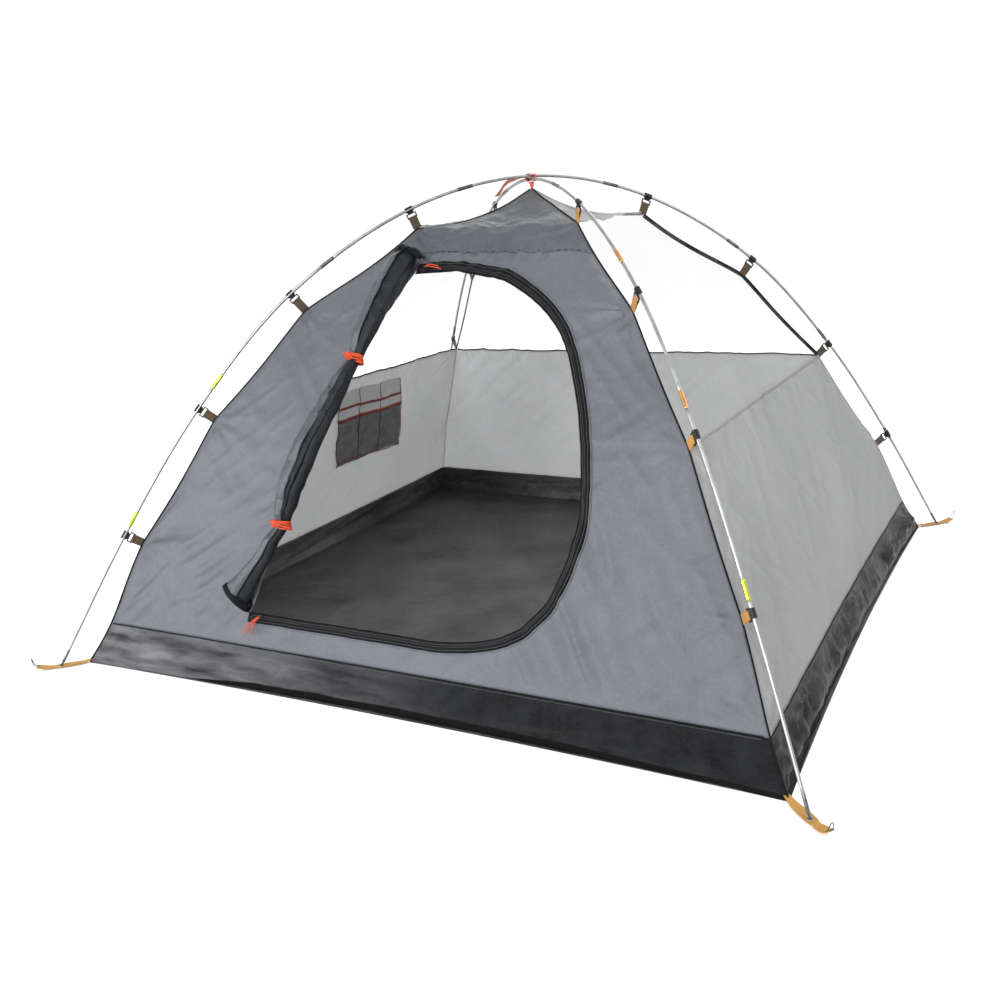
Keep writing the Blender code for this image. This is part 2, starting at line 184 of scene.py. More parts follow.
# Name, place, side length and watts. The low lamp only adds gloss to the front tub.
LAMPS = (
    ("key", (0.2, -6.6, 3.4), 2.2, 400.0),
    ("low", (-4.2, -3.9, 1.1), 1.6, 190.0),
    ("side", (4.5, 1.5, 4.0), 2.6, 85.0),
    ("back", (-1.0, 4.5, 4.5), 3.0, 110.0),
)


def make_stage():
    """Wide pale floor, white surroundings and soft lamps."""
    ground = bpy.data.meshes.new("ground")
    corners = [(x * GROUND_REACH, y * GROUND_REACH, 0) for x, y in ((-1, -1), (1, -1), (1, 1), (-1, 1))]
    ground.from_pydata(corners, [], [(0, 1, 2, 3)])
    floor = bpy.data.objects.new("ground", ground)
    bpy.context.scene.collection.objects.link(floor)
    pale = bpy.data.materials.new("ground")
    pale.use_nodes = True
    shader = pale.node_tree.nodes["Principled BSDF"]
    shader.inputs["Base Color"].default_value = GROUND_COLOUR
    shader.inputs["Roughness"].default_value = 0.9
    ground.materials.append(pale)
    world = bpy.data.worlds.new("studio")
    world.use_nodes = True
    background = world.node_tree.nodes["Background"]
    background.inputs["Color"].default_value = (1.0, 1.0, 1.0, 1)
    background.inputs["Strength"].default_value = WORLD_STRENGTH
    bpy.context.scene.world = world
    bpy.context.scene.view_settings.view_transform = "Standard"
    for name, place, side, power in LAMPS:
        light = bpy.data.lights.new(name, "AREA")
        light.shape = "SQUARE"
        light.size = side
        light.energy = power
        lamp = bpy.data.objects.new(name, light)
        lamp.visible_diffuse = name != "low"
        lamp.location = place
        lamp.rotation_euler = (LAMP_TARGET - lamp.location).to_track_quat("-Z", "Y").to_euler()
        bpy.context.scene.collection.objects.link(lamp)


# Curves

def smooth_curve(points, steps=12):
    """Dense curve that runs smoothly through the points."""
    p = np.array(points, float)
    p = np.vstack([2 * p[0] - p[1], p, 2 * p[-1] - p[-2]])
    dense = []
    for a, b, c, d in zip(p[:-3], p[1:-2], p[2:-1], p[3:]):
        for t in np.arange(steps) / steps:
            linear = 2 * b + (c - a) * t
            square = (2 * a - 5 * b + 4 * c - d) * t**2
            cube = (3 * b - 3 * c + d - a) * t**3
            dense.append((linear + square + cube) / 2)
    dense.append(p[-2])
    return np.array(dense)


def lengths_along(curve):
    steps = np.linalg.norm(np.diff(curve, axis=0), axis=1)
    return np.concatenate([[0.0], np.cumsum(steps)])


def point_at(curve, lengths, s):
    return np.stack([np.interp(s, lengths, column) for column in curve.T], axis=-1)


def tangent_at(curve, lengths, s, step=0.002):
    ahead = point_at(curve, lengths, s + step) - point_at(curve, lengths, s - step)
    return ahead / np.linalg.norm(ahead, axis=-1, keepdims=True)


def evenly(curve, step):
    """The curve again with points about step apart."""
    lengths = lengths_along(curve)
    count = max(3, int(lengths[-1] / step) + 1)
    return point_at(curve, lengths, np.linspace(0, lengths[-1], count))


def seam_curve():
    """Corner seam from the floor to the peak, with a corner where the top hanger pulls it."""
    lower, upper = (
        smooth_curve([(share * HALF_DIAGONAL, z) for share, z in profile])
        for profile in (SEAM_PROFILE, PEAK_PROFILE)
    )
    return np.vstack([lower[:-1], upper])


SEAM = seam_curve()
SEAM_LENGTHS = lengths_along(SEAM)


def seam_at_height(z):
    return np.interp(z, SEAM[:, 1], SEAM_LENGTHS)


HANGER_HEIGHTS = [z for _, z in SEAM_PROFILE[2:6]]
HANGER_STATIONS = [float(seam_at_height(z)) for z in HANGER_HEIGHTS]
PEAK_STATION = float(SEAM_LENGTHS[-1]) - 0.003
TUB_STATION = float(seam_at_height(TUB_TOP))
YOKE_STATION = float(seam_at_height(YOKE_SEAM))
ROLL = smooth_curve(ROLL_PROFILE, 10)
ROLL_LENGTHS = lengths_along(ROLL)
RIGHT = np.array((1.0, 0.0, 0.0))
UP = np.array((0.0, 0.0, 1.0))


# Cloth surfaces

def noise(x, y, seed):
    """Smooth noise from -1 to 1 on a lattice of step 1, the same each run."""
    table = np.random.RandomState(seed).uniform(-1, 1, (64, 64))
    x, y = np.broadcast_arrays(np.asarray(x, float), np.asarray(y, float))
    cell_x, cell_y = np.floor(x).astype(int), np.floor(y).astype(int)
    fx, fy = x - cell_x, y - cell_y
    fx, fy = fx * fx * (3 - 2 * fx), fy * fy * (3 - 2 * fy)
    left, right = cell_x % 64, (cell_x + 1) % 64
    low, high = cell_y % 64, (cell_y + 1) % 64
    near = table[left, low] * (1 - fx) + table[right, low] * fx
    far = table[left, high] * (1 - fx) + table[right, high] * fx
    return near * (1 - fy) + far * fy


def creases(x, y, angle, width, length, seed):
    """Sharp-crested folds that run at this angle, about width apart and length long."""
    c, s = math.cos(angle), math.sin(angle)
    value = noise((-x * s + y * c) / width, (x * c + y * s) / length, seed)
    return 1 - 2 * np.abs(value)


SCALLOP_DEPTHS = (0.003, 0.012, 0.015, 0.015)
BOW_STATIONS = (0.0, 0.045, TUB_STATION, 0.40, 0.70)
BOW_DEPTHS = (0.034, 0.014, 0.013, 0.006, 0.0)


def scallop(s):
    """How far the corner seam draws in between one hanger and the next."""
    stations = [0.0, *HANGER_STATIONS]
    drawn = np.zeros_like(s)
    for low, high, depth in zip(stations[:-1], stations[1:], SCALLOP_DEPTHS):
        t = np.clip((s - low) / (high - low), 0, 1)
        drawn += depth * np.sin(math.pi * t)
    return drawn


def bow(s):
    """How far the middle of a wall's edge draws in, most at the ground."""
    return np.interp(s, BOW_STATIONS, BOW_DEPTHS)


def fan(u, s, centre_u, centre_s, folds, reach, seed):
    """Folds that fan out from a point where the cloth is pulled."""
    du, ds = u - centre_u, s - centre_s
    distance = np.hypot(du, ds)
    angle = np.arctan2(ds, du)
    value = noise(angle * folds, distance / 0.35, seed)
    strength = np.exp(-distance / reach) * np.clip(distance / 0.04, 0, 1)
    return (1 - 2 * np.abs(value)) * strength


def puckers(u, s, station, pitch, reach, seed):
    """Short folds that run straight down from a gathered seam."""
    away = np.abs(s - station)
    return noise(u / pitch, s / 0.20, seed) * np.exp(-away / reach) * np.clip(away / 0.012, 0, 1)


# Creases as (height, angle, width, length, seed)
WALL_CREASES = ((0.0032, 0.75, 0.044, 0.20, 1), (0.0026, -0.9, 0.050, 0.22, 2))
TUB_CREASES = ((0.0046, 0.10, 0.030, 0.24, 16), (0.0026, 1.35, 0.022, 0.09, 17))
RIGHT_WALL_CREASES = (0.0064, 1.05, 0.070, 0.33, 93)
# Creases beside the door, with the (u, s) where they start to show and how fast they grow
DOOR_CREASES = (
    ((0.0085, 2.05, 0.050, 0.26, 92), (0.15, 1 / 0.3), (0.75, 0.3)),
    ((0.0060, 0.62, 0.048, 0.30, 94), (-0.25, -1 / 0.2), (0.80, 0.3)),
)
# Fans as (height, folds, reach)
HANGER_FAN = (0.0070, 3.6, 0.17)
TUB_CORNER_FAN = (0.0080, 6.0, 0.50)
WALL_CORNER_FAN = (0.0105, 6.0, 0.16)
# Puckers as (height, pitch, reach)
TUB_PUCKERS = (0.0030, 0.012, 0.05)
YOKE_PUCKERS = (0.0110, 0.020, 0.045)
HEM_PUCKERS = (0.0040, 0.010, 0.12)
FIRST_SEEDS = {"front": 10, "right": 30, "back": 50, "left": 70}


def creased(u, s, crease, base=0):
    height, angle, width, length, seed = crease
    return height * creases(u, s, angle, width, length, base + seed)


def wrinkles(side, u, s):
    """Height of the cloth's folds at u along the wall and s up the seam."""
    base = FIRST_SEEDS[side]
    share = SIDES[side][2]
    height = 0.0040 * noise(u / 0.33, s / 0.30, base) + 0.0007 * noise(u / 0.020, s / 0.026, base + 3)
    for crease in WALL_CREASES:
        height = height + creased(u, s, crease, base)
    tall, folds, reach = HANGER_FAN
    for k, station in enumerate(HANGER_STATIONS):
        edge = share * np.interp(station, SEAM_LENGTHS, SEAM[:, 0])
        for end in (-1, 1):
            seed = base + 4 + 2 * k + (end > 0)
            height = height + tall * fan(u, s, end * edge, station, folds, reach, seed)
    in_tub = np.clip((TUB_STATION + 0.01 - s) / 0.02, 0, 1)
    tub_hold = in_tub * np.clip(s / 0.045, 0.0, 1) * np.clip((TUB_STATION - s) / 0.012, 0.15, 1)
    for end in (-1, 1):
        corner = end * share * HALF_DIAGONAL
        tall, folds, reach = TUB_CORNER_FAN
        fold = fan(u, s * 2.2, corner, 0.0, folds, reach, base + 14 + (end > 0))
        height = height + tall * tub_hold * fold
        tall, folds, reach = WALL_CORNER_FAN
        pulled = fan(u, s, 0.95 * corner, TUB_STATION, folds, reach, base + 18 + (end > 0))
        height = height + tall * (1 - in_tub) * pulled
    for crease in TUB_CREASES:
        height = height + tub_hold * creased(u, s, crease, base)
    tall, pitch, reach = TUB_PUCKERS
    height = height + tall * (1 - in_tub) * puckers(u, s, TUB_STATION, pitch, reach, base + 20)
    if side == "front":
        tall, pitch, reach = YOKE_PUCKERS
        height = height + tall * puckers(u, s, YOKE_STATION, pitch, reach, 91)
        for crease, (from_u, slope), (below, fade) in DOOR_CREASES:
            shown = np.clip((u - from_u) * slope, 0, 1) * np.clip((below - s) / fade, 0, 1)
            height = height + shown * creased(u, s, crease)
    else:
        tall, pitch, reach = HEM_PUCKERS
        hem = float(seam_at_height(LOWER_WALL_TOP))
        height = height + tall * puckers(u, s, hem, pitch, reach, base + 21)
    if side == "right":
        height = height + creased(u, s, RIGHT_WALL_CREASES)
    pinned = np.clip((half_width(side, s) - np.abs(u)) / 0.03, 0, 1)
    seam_hold = 0.15 + 0.85 * np.clip(np.abs(s - TUB_STATION) / 0.07, 0, 1)
    ground_hold = 0.10 + 0.90 * np.clip(s / 0.06, 0, 1)
    return height * pinned * seam_hold * ground_hold


SIDES = {
    "front": ((1, 0), (0, -1), DIAGONAL_X, DIAGONAL_Y),
    "back": ((1, 0), (0, 1), DIAGONAL_X, DIAGONAL_Y),
    "left": ((0, 1), (-1, 0), DIAGONAL_Y, DIAGONAL_X),
    "right": ((0, 1), (1, 0), DIAGONAL_Y, DIAGONAL_X),
}


def half_width(side, s):
    return np.interp(s, SEAM_LENGTHS, SEAM[:, 0]) * SIDES[side][2]


RIDGE_LIFT = 0.026


def ridge_lift(side, a, s):
    """How far the front right seam stands above the others near the peak."""
    if side not in ("front", "right"):
        return 0.0
    near = np.clip(a if side == "front" else -a, 0, 1)
    t = np.clip((s - HANGER_STATIONS[3]) / (SEAM_LENGTHS[-1] - HANGER_STATIONS[3]), 0, 1)
    return RIDGE_LIFT * near * np.sin(math.pi * t)


def wall_points(side, u, s, proud=0.0, folds=1.0):
    """Points of a wall at u along it and s up the corner seam, moved out by proud."""
    along, out, share_along, share_out = SIDES[side]
    r, z = np.interp(s, SEAM_LENGTHS, SEAM[:, 0]), np.interp(s, SEAM_LENGTHS, SEAM[:, 1])
    tangent = tangent_at(SEAM, SEAM_LENGTHS, s)
    a = np.clip(u / np.maximum(r * share_along, 1e-4), -1, 1)
    drawn = scallop(s) * np.abs(a) ** 4
    r = r - drawn * tangent[..., 1]
    z = z + drawn * tangent[..., 0] + ridge_lift(side, a, s)
    size = np.hypot(tangent[..., 1], tangent[..., 0] * share_out)
    out_part, up_part = tangent[..., 1] / size, -tangent[..., 0] * share_out / size
    lift = proud - SKIN_DEPTH - bow(s) * (1 - a**2)
    if folds:
        lift = lift + folds * wrinkles(side, u, s)
    flat_along = a * r * share_along
    flat_out = r * share_out + out_part * lift
    x = along[0] * flat_along + out[0] * flat_out
    y = along[1] * flat_along + out[1] * flat_out
    return np.stack([x, y, np.maximum(z + up_part * lift, LEAST_HEIGHT)], axis=-1)


def front_points(x, z, proud=0.0):
    return wall_points("front", np.asarray(x, float), seam_at_height(z), proud)


# Materials

def nodes_of(name):
    made = bpy.data.materials.new(name)
    made.use_nodes = True
    tree = made.node_tree
    return made, tree, tree.nodes["Principled BSDF"]


def add(tree, kind, **values):
    node = tree.nodes.new(kind)
    for key, value in values.items():
        if key in node.inputs:
            node.inputs[key].default_value = value
        else:
            setattr(node, key, value)
    return node


def wave(tree, place, scale, direction):
    node = add(tree, "ShaderNodeTexWave", bands_direction=direction)
    node.inputs["Scale"].default_value = scale
    node.inputs["Distortion"].default_value = 0.4
    tree.links.new(place, node.inputs["Vector"])
    return node.outputs["Fac"]


def combine(tree, operation, first, second):
    node = add(tree, "ShaderNodeMath", operation=operation)
    for socket, value in zip(node.inputs, (first, second)):
        if isinstance(value, (int, float)):
            socket.default_value = value
        else:
            tree.links.new(value, socket)
    return node.outputs[0]


def textured(tree, kind, place, **values):
    """Texture or mapping node that reads this place."""
    node = add(tree, kind, **values)
    tree.links.new(place, node.inputs["Vector"])
    return node


def coloured(tree, factor, low, high, dark, pale):
    """Colour that runs from dark to pale as the factor goes from low to high."""
    ramp = add(tree, "ShaderNodeValToRGB")
    for stop, position, colour in zip(ramp.color_ramp.elements, (low, high), (dark, pale)):
        stop.position, stop.color = position, (*colour, 1)
    tree.links.new(factor, ramp.inputs["Fac"])
    return ramp.outputs["Color"]


def scaled(tree, value, factor, plus):
    result = combine(tree, "MULTIPLY_ADD", value, factor)
    result.node.inputs[2].default_value = plus
    return result


def bumped_by(tree, height, strength, distance):
    bump = add(tree, "ShaderNodeBump", Strength=strength, Distance=distance)
    tree.links.new(height, bump.inputs["Height"])
    return bump


def cloth(name, dark, pale, rough, weave=420.0, bump=0.25, blotch=2.4, gloss=0.5, glow=0.0, crumple=0.0):
    """Woven cloth: thread directions, slow colour drift, slubs, small crumples and soft sheen."""
    made, tree, shader = nodes_of(name)
    place = add(tree, "ShaderNodeTexCoord").outputs["Object"]
    drift = textured(tree, "ShaderNodeTexNoise", place, Scale=blotch, Detail=4.0).outputs["Fac"]
    slub = textured(tree, "ShaderNodeTexNoise", place, Scale=150.0, Detail=2.0).outputs["Fac"]
    threads = combine(tree, "ADD", wave(tree, place, weave, "X"), wave(tree, place, weave, "Z"))
    threads = combine(tree, "ADD", threads, wave(tree, place, weave, "Y"))
    mixed = combine(tree, "MULTIPLY", slub, 0.35)
    mixed = combine(tree, "ADD", mixed, combine(tree, "MULTIPLY", drift, 0.65))
    colour = coloured(tree, mixed, 0.36, 0.64, dark, pale)
    tree.links.new(colour, shader.inputs["Base Color"])
    tree.links.new(scaled(tree, drift, 0.24, rough - 0.12), shader.inputs["Roughness"])
    bumped = bumped_by(tree, combine(tree, "ADD", threads, slub), bump, 0.0006)
    tree.links.new(bumped.outputs["Normal"], shader.inputs["Normal"])
    if crumple:
        rumple = textured(tree, "ShaderNodeTexNoise", place, Scale=24.0, Detail=6.0, Distortion=0.6)
        creased_by = bumped_by(tree, rumple.outputs["Fac"], crumple, 0.010)
        tree.links.new(creased_by.outputs["Normal"], bumped.inputs["Normal"])
    shader.inputs["Specular IOR Level"].default_value = gloss
    shader.inputs["Sheen Weight"].default_value = 0.04 * gloss
    shader.inputs["Sheen Roughness"].default_value = 0.5
    if glow:
        behind = add(tree, "ShaderNodeBsdfTranslucent")
        tree.links.new(colour, behind.inputs["Color"])
        tree.links.new(bumped.outputs["Normal"], behind.inputs["Normal"])
        blend = add(tree, "ShaderNodeMixShader")
        blend.inputs[0].default_value = glow
        tree.links.new(shader.outputs[0], blend.inputs[1])
        tree.links.new(behind.outputs[0], blend.inputs[2])
        tree.links.new(blend.outputs[0], tree.nodes["Material Output"].inputs["Surface"])
    return made


def mapped(tree, value, ends):
    """Value brought from its first two ends to the last two, and held between them."""
    node = add(tree, "ShaderNodeMapRange")
    for name, end in zip(("From Min", "From Max", "To Min", "To Max"), ends):
        node.inputs[name].default_value = end
    tree.links.new(value, node.inputs["Value"])
    return node.outputs["Result"]


def painted_highlight_streaks(made, brightest, dark_from, highlight):
    """Painted highlight: pale streaks that stand in for light reflected off a tub's coated cloth, fading
    out from one x to another.
    """
    tree = made.node_tree
    shader = tree.nodes["Principled BSDF"]
    place = add(tree, "ShaderNodeTexCoord").outputs["Object"]
    apart = add(tree, "ShaderNodeSeparateXYZ")
    tree.links.new(place, apart.inputs[0])
    fade = mapped(tree, apart.outputs["X"], (brightest, dark_from, 1.0, 0.0))
    stretch = textured(tree, "ShaderNodeMapping", place)
    stretch.inputs["Scale"].default_value = (5.0, 5.0, 34.0)
    stretch.inputs["Rotation"].default_value = (0.0, math.radians(9.0), 0.0)
    streak = textured(
        tree, "ShaderNodeTexNoise", stretch.outputs["Vector"], Scale=1.0, Detail=5.0, Distortion=0.25
    )
    contrast = mapped(tree, streak.outputs["Fac"], (0.30, 0.68, 0.0, 1.0))
    mixed = add(tree, "ShaderNodeMix", data_type="RGBA")
    sockets = {socket.identifier: socket for socket in mixed.inputs}
    sockets["B_Color"].default_value = (*highlight, 1)
    tree.links.new(combine(tree, "MULTIPLY", fade, contrast), sockets["Factor_Float"])
    tree.links.new(shader.inputs["Base Color"].links[0].from_socket, sockets["A_Color"])
    result = {socket.identifier: socket for socket in mixed.outputs}["Result_Color"]
    tree.links.new(result, shader.inputs["Base Color"])
    return made


def netting(name, colour, cover, blotch=5.0, swing=0.8):
    """Fine mesh: mostly see-through, with thicker and thinner patches."""
    made, tree, shader = nodes_of(name)
    place = add(tree, "ShaderNodeTexCoord").outputs["Object"]
    drift = textured(tree, "ShaderNodeTexNoise", place, Scale=blotch, Detail=4.0).outputs["Fac"]
    share = scaled(tree, drift, cover * swing * 2, cover * (1 - swing))
    tree.links.new(share, shader.inputs["Alpha"])
    shade = coloured(tree, drift, 0.35, 0.65, [c * 0.7 for c in colour], colour)
    tree.links.new(shade, shader.inputs["Base Color"])
    shader.inputs["Roughness"].default_value = 0.9
    return made


def hard(name, dark, pale, rough, metallic=0.0, grain=40.0, bump=0.08):
    """Metal or plastic with mottling, scuffs and uneven gloss."""
    made, tree, shader = nodes_of(name)
    place = add(tree, "ShaderNodeTexCoord").outputs["Object"]
    stretch = textured(tree, "ShaderNodeMapping", place)
    stretch.inputs["Scale"].default_value = (grain, grain, grain)
    vector = stretch.outputs["Vector"]
    streak = textured(tree, "ShaderNodeTexNoise", vector, Scale=1.0, Detail=5.0).outputs["Fac"]
    tree.links.new(coloured(tree, streak, 0.3, 0.7, dark, pale), shader.inputs["Base Color"])
    tree.links.new(scaled(tree, streak, 0.2, rough - 0.1), shader.inputs["Roughness"])
    bumped = bumped_by(tree, streak, bump, 0.0004)
    tree.links.new(bumped.outputs["Normal"], shader.inputs["Normal"])
    shader.inputs["Metallic"].default_value = metallic
    shader.inputs["Specular IOR Level"].default_value = 0.25
    return made


# Cloths as (dark colour, pale colour, roughness, other values of cloth())
CLOTHS = {
    "grey_fabric": (
        (0.084, 0.092, 0.105), (0.112, 0.121, 0.138), 0.46, dict(gloss=0.35, glow=0.10, crumple=0.34),
    ),
    "yoke_fabric": (
        (0.055, 0.060, 0.068), (0.080, 0.086, 0.097), 0.46, dict(gloss=0.35, glow=0.05, crumple=0.34),
    ),
    "light_fabric": (
        (0.40, 0.404, 0.410), (0.46, 0.464, 0.470), 0.62, dict(gloss=0.3, glow=0.5, crumple=0.34),
    ),
    "coated_tub": (
        (0.002, 0.0023, 0.003), (0.010, 0.011, 0.013), 0.21,
        dict(bump=0.5, blotch=16.0, gloss=0.17, crumple=1.0),
    ),
    # Copy of coated_tub that gets the painted highlight streaks
    "front_tub_painted_highlight": (
        (0.002, 0.0023, 0.003), (0.010, 0.011, 0.013), 0.21,
        dict(bump=0.5, blotch=16.0, gloss=0.14, crumple=1.0),
    ),
    # Floor cloth turned up under the tub, painted near-black as shade where it faces down
    "turned_tub_painted_shade": ((0.002, 0.0022, 0.0024), (0.005, 0.0052, 0.0056), 0.6, dict(gloss=0.05)),
    "coated_floor": (
        (0.020, 0.020, 0.020), (0.078, 0.078, 0.075), 0.42,
        dict(bump=0.5, blotch=5.0, gloss=0.4, crumple=1.0),
    ),
    # Lighter copy of the coated tub cloth for the tub's inner faces: painted light where the inside sits in
    # shade
    "tub_inside_painted_light": ((0.05, 0.051, 0.053), (0.13, 0.131, 0.134), 0.5, dict(gloss=0.3, crumple=0.8)),
    "zip_tape": ((0.003, 0.0033, 0.0038), (0.008, 0.0085, 0.010), 0.6, dict(weave=500.0, gloss=0.06)),
    "rolled_fabric": ((0.005, 0.006, 0.0075), (0.016, 0.018, 0.022), 0.34, dict(gloss=0.16, crumple=0.5)),
    # Outer grey side of the rolled door, kept to the roll's lit left side: real cloth and a painted
    # highlight
    "roll_outer_painted_highlight": ((0.030, 0.034, 0.042), (0.058, 0.064, 0.076), 0.34, dict(gloss=0.4, crumple=0.5)),
    "pull_cord": ((0.42, 0.040, 0.012), (0.60, 0.085, 0.030), 0.6, dict(weave=700.0, gloss=0.2)),
    "ochre_webbing": ((0.36, 0.17, 0.03), (0.52, 0.27, 0.055), 0.75, dict(weave=300.0, bump=0.7)),
    # Darker copy of the ochre webbing: painted shade for the hanger straps away from the light
    "webbing_painted_shade": ((0.042, 0.027, 0.012), (0.085, 0.055, 0.024), 0.75, dict(weave=300.0, bump=0.7)),
    "red_binding": ((0.13, 0.022, 0.014), (0.24, 0.042, 0.024), 0.7, {}),
    "red_ribbon": ((0.44, 0.045, 0.022), (0.64, 0.085, 0.04), 0.55, {}),
    "thread": ((0.07, 0.07, 0.08), (0.12, 0.12, 0.13), 0.8, {}),
    "green_cord": ((0.008, 0.035, 0.020), (0.018, 0.070, 0.040), 0.7, dict(weave=700.0)),
    "hem_tape": ((0.16, 0.16, 0.16), (0.24, 0.24, 0.24), 0.7, {}),
    "roof_edge": ((0.26, 0.26, 0.255), (0.36, 0.36, 0.355), 0.8, {}),
}
# Netting as (colour, cover, blotch scale, swing of the cover)
NETS = {
    "dark_mesh": ((0.055, 0.055, 0.06), 0.86, 30.0, 0.2),
    "pale_mesh": ((0.16, 0.16, 0.16), 0.42, 30.0, 0.25),
    "roof_net": ((0.29, 0.29, 0.285), 0.92, 26.0, 0.5),
    "wall_net": ((0.62, 0.62, 0.62), 0.06),
}
# Metals as (dark colour, pale colour, roughness, metallic, grain)
METALS = {
    "pole": ((0.26, 0.27, 0.262), (0.38, 0.39, 0.38), 0.42, 1.0, 30.0),
    "lime_anodised": ((0.34, 0.40, 0.03), (0.52, 0.58, 0.09), 0.3, 1.0),
    "copper_anodised": ((0.50, 0.24, 0.09), (0.66, 0.34, 0.15), 0.3, 1.0),
    "gunmetal_anodised": ((0.085, 0.092, 0.095), (0.16, 0.17, 0.17), 0.3, 1.0),
    "steel": ((0.30, 0.29, 0.26), (0.44, 0.43, 0.40), 0.35, 1.0),
}
# Painted highlight on the front tub: the x where it is brightest, the x where it has faded out, and its
# pale colour
HIGHLIGHT_FROM, HIGHLIGHT_TO = -0.95, 0.18
PAINTED_HIGHLIGHT = (0.200, 0.203, 0.215)


def make_materials():
    made = {
        name: cloth(name, dark, pale, rough, **rest) for name, (dark, pale, rough, rest) in CLOTHS.items()
    }
    made.update((name, netting(name, *values)) for name, values in NETS.items())
    made.update((name, hard(name, *values)) for name, values in METALS.items())
    black, dark = (0.004, 0.004, 0.0045), (0.012, 0.012, 0.013)
    made["black_plastic"] = hard("black_plastic", black, dark, 0.5, bump=0.2)
    # Painted highlight streaks on the front tub's cloth
    painted_highlight_streaks(made["front_tub_painted_highlight"], HIGHLIGHT_FROM, HIGHLIGHT_TO, PAINTED_HIGHLIGHT)
    return made


# Piece building

def piece(name, points, faces, finish, slot=None, body=ROOT, node=None, smooth=True):
    """Mesh piece in the row frame that rides on a body and may stand for a CAD node."""
    mesh = bpy.data.meshes.new(name)
    mesh.from_pydata([tuple(map(float, p)) for p in points], [], faces)
    mesh.update()
    mesh.materials.append(finish)
    if smooth:
        mesh.shade_smooth()
        mesh.set_sharp_from_angle(angle=math.radians(50))
    made = bpy.data.objects.new(name, mesh)
    bpy.context.scene.collection.objects.link(made)
    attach(made, body)
    if node:
        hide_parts(node)
    return made


def thicken(made, thickness=CLOTH_THICKNESS, offset=-1.0):
    change = made.modifiers.new("thickness", "SOLIDIFY")
    change.thickness = thickness
    change.offset = offset


def grid_faces(rows, columns, closed=False):
    faces = []
    for i in range(rows - 1):
        for j in range(columns if closed else columns - 1):
            k = (j + 1) % columns
            low, high = i * columns, (i + 1) * columns
            faces.append((low + j, low + k, high + k, high + j))
    return faces


def woven(rows):
    """Points and faces of an open sheet from rows of equally many points."""
    rows = np.array(rows)
    return rows.reshape(-1, 3), grid_faces(rows.shape[0], rows.shape[1])


def swept(curve, radius, sides=10, flat=1.0, ups=None):
    """Points and faces of a closed tube along a 3-D curve. radius may vary along it."""
    curve = np.array(curve, float)
    radius = np.broadcast_to(radius, len(curve))
    along = np.gradient(curve, axis=0)
    along /= np.linalg.norm(along, axis=1)[:, None]
    up = np.array(ups, float) if ups is not None else np.tile((0.03, 0.02, 1.0), (len(curve), 1))
    across = np.cross(along, up)
    across /= np.linalg.norm(across, axis=1)[:, None]
    up = np.cross(across, along)
    turns = 2 * math.pi * np.arange(sides) / sides
    rings = curve[:, None] + radius[:, None, None] * (
        across[:, None] * np.cos(turns)[None, :, None] + up[:, None] * np.sin(turns)[None, :, None] * flat
    )
    points = rings.reshape(-1, 3)
    faces = grid_faces(len(curve), sides, closed=True)
    faces.append(tuple(reversed(range(sides))))
    faces.append(tuple(range(len(points) - sides, len(points))))
    return points, faces


def joined(parts):
    """One list of points and faces from several."""
    points, faces, start = [], [], 0
    for some, more in parts:
        points.extend(some)
        faces.extend(tuple(i + start for i in face) for face in more)
        start += len(some)
    return points, faces


def block(centre, axes, sizes):
    """Points and faces of a box with these full sizes along its axes."""
    corners = [(-1, -1, -1), (1, -1, -1), (1, 1, -1), (-1, 1, -1)]
    corners += [(x, y, 1) for x, y, _ in corners]
    points = []
    for corner in corners:
        point = np.array(centre, float)
        for sign, axis, size in zip(corner, axes, sizes):
            point = point + np.array(axis, float) * sign * size / 2
        points.append(point)
    faces = [(3, 2, 1, 0), (4, 5, 6, 7), (0, 1, 5, 4), (1, 2, 6, 5), (2, 3, 7, 6), (3, 0, 4, 7)]
    return points, faces


def stitches(curve, outs, length=0.0034, gap=0.0022, width=0.0009):
    """Raised stitches in a row along a curve, lying on the surface whose normals are outs."""
    lengths = lengths_along(curve)
    parts = []
    for s in np.arange(0.004, lengths[-1] - 0.004, length + gap):
        centre = point_at(curve, lengths, s)
        along = tangent_at(curve, lengths, s)
        out = point_at(outs, lengths, s)
        out = out / np.linalg.norm(out)
        across = np.cross(out, along)
        parts.append(block(centre, (along, across, out), (length, width, width * 0.6)))
    return joined(parts)


# Canopy

def panel(name, side, low, high, finish, slot, step, node, solid=True):
    """Sheet of cloth on a wall between two stations of the corner seam."""
    rows = max(4, int((high - low) / step) + 1)
    columns = int(2 * half_width(side, low) / step) + 1
    s = np.repeat(np.linspace(low, high, rows), columns)
    a = np.tile(np.linspace(-1, 1, columns), rows)
    points = wall_points(side, a * half_width(side, s), s)
    made = piece(name, points, wall_faces(side, rows, columns), finish, slot, node=node)
    if solid:
        thicken(made)


def wall_faces(side, rows, columns):
    faces = grid_faces(rows, columns)
    return faces if side in ("front", "right") else [face[::-1] for face in faces]


# Height of the turned-up floor cloth at shares of the half width, from left to right. The band is painted
# near-black as shade where the cloth faces down.
TURNED_UP = {
    "front": ((-1, -0.72, -0.42, 0, 0.45, 1), (0.003, 0.004, 0.032, 0.040, 0.034, 0.014)),
    "right": (
        (-1, -0.95, -0.24, -0.20, 0.3, 0.5, 0.9, 1),
        (0.012, 0.034, 0.030, 0.003, 0.003, 0.02, 0.02, 0.003),
    ),
    "back": ((-1, 0, 1), (0.012, 0.036, 0.012)),
    "left": ((-1, 0, 1), (0.012, 0.036, 0.012)),
}


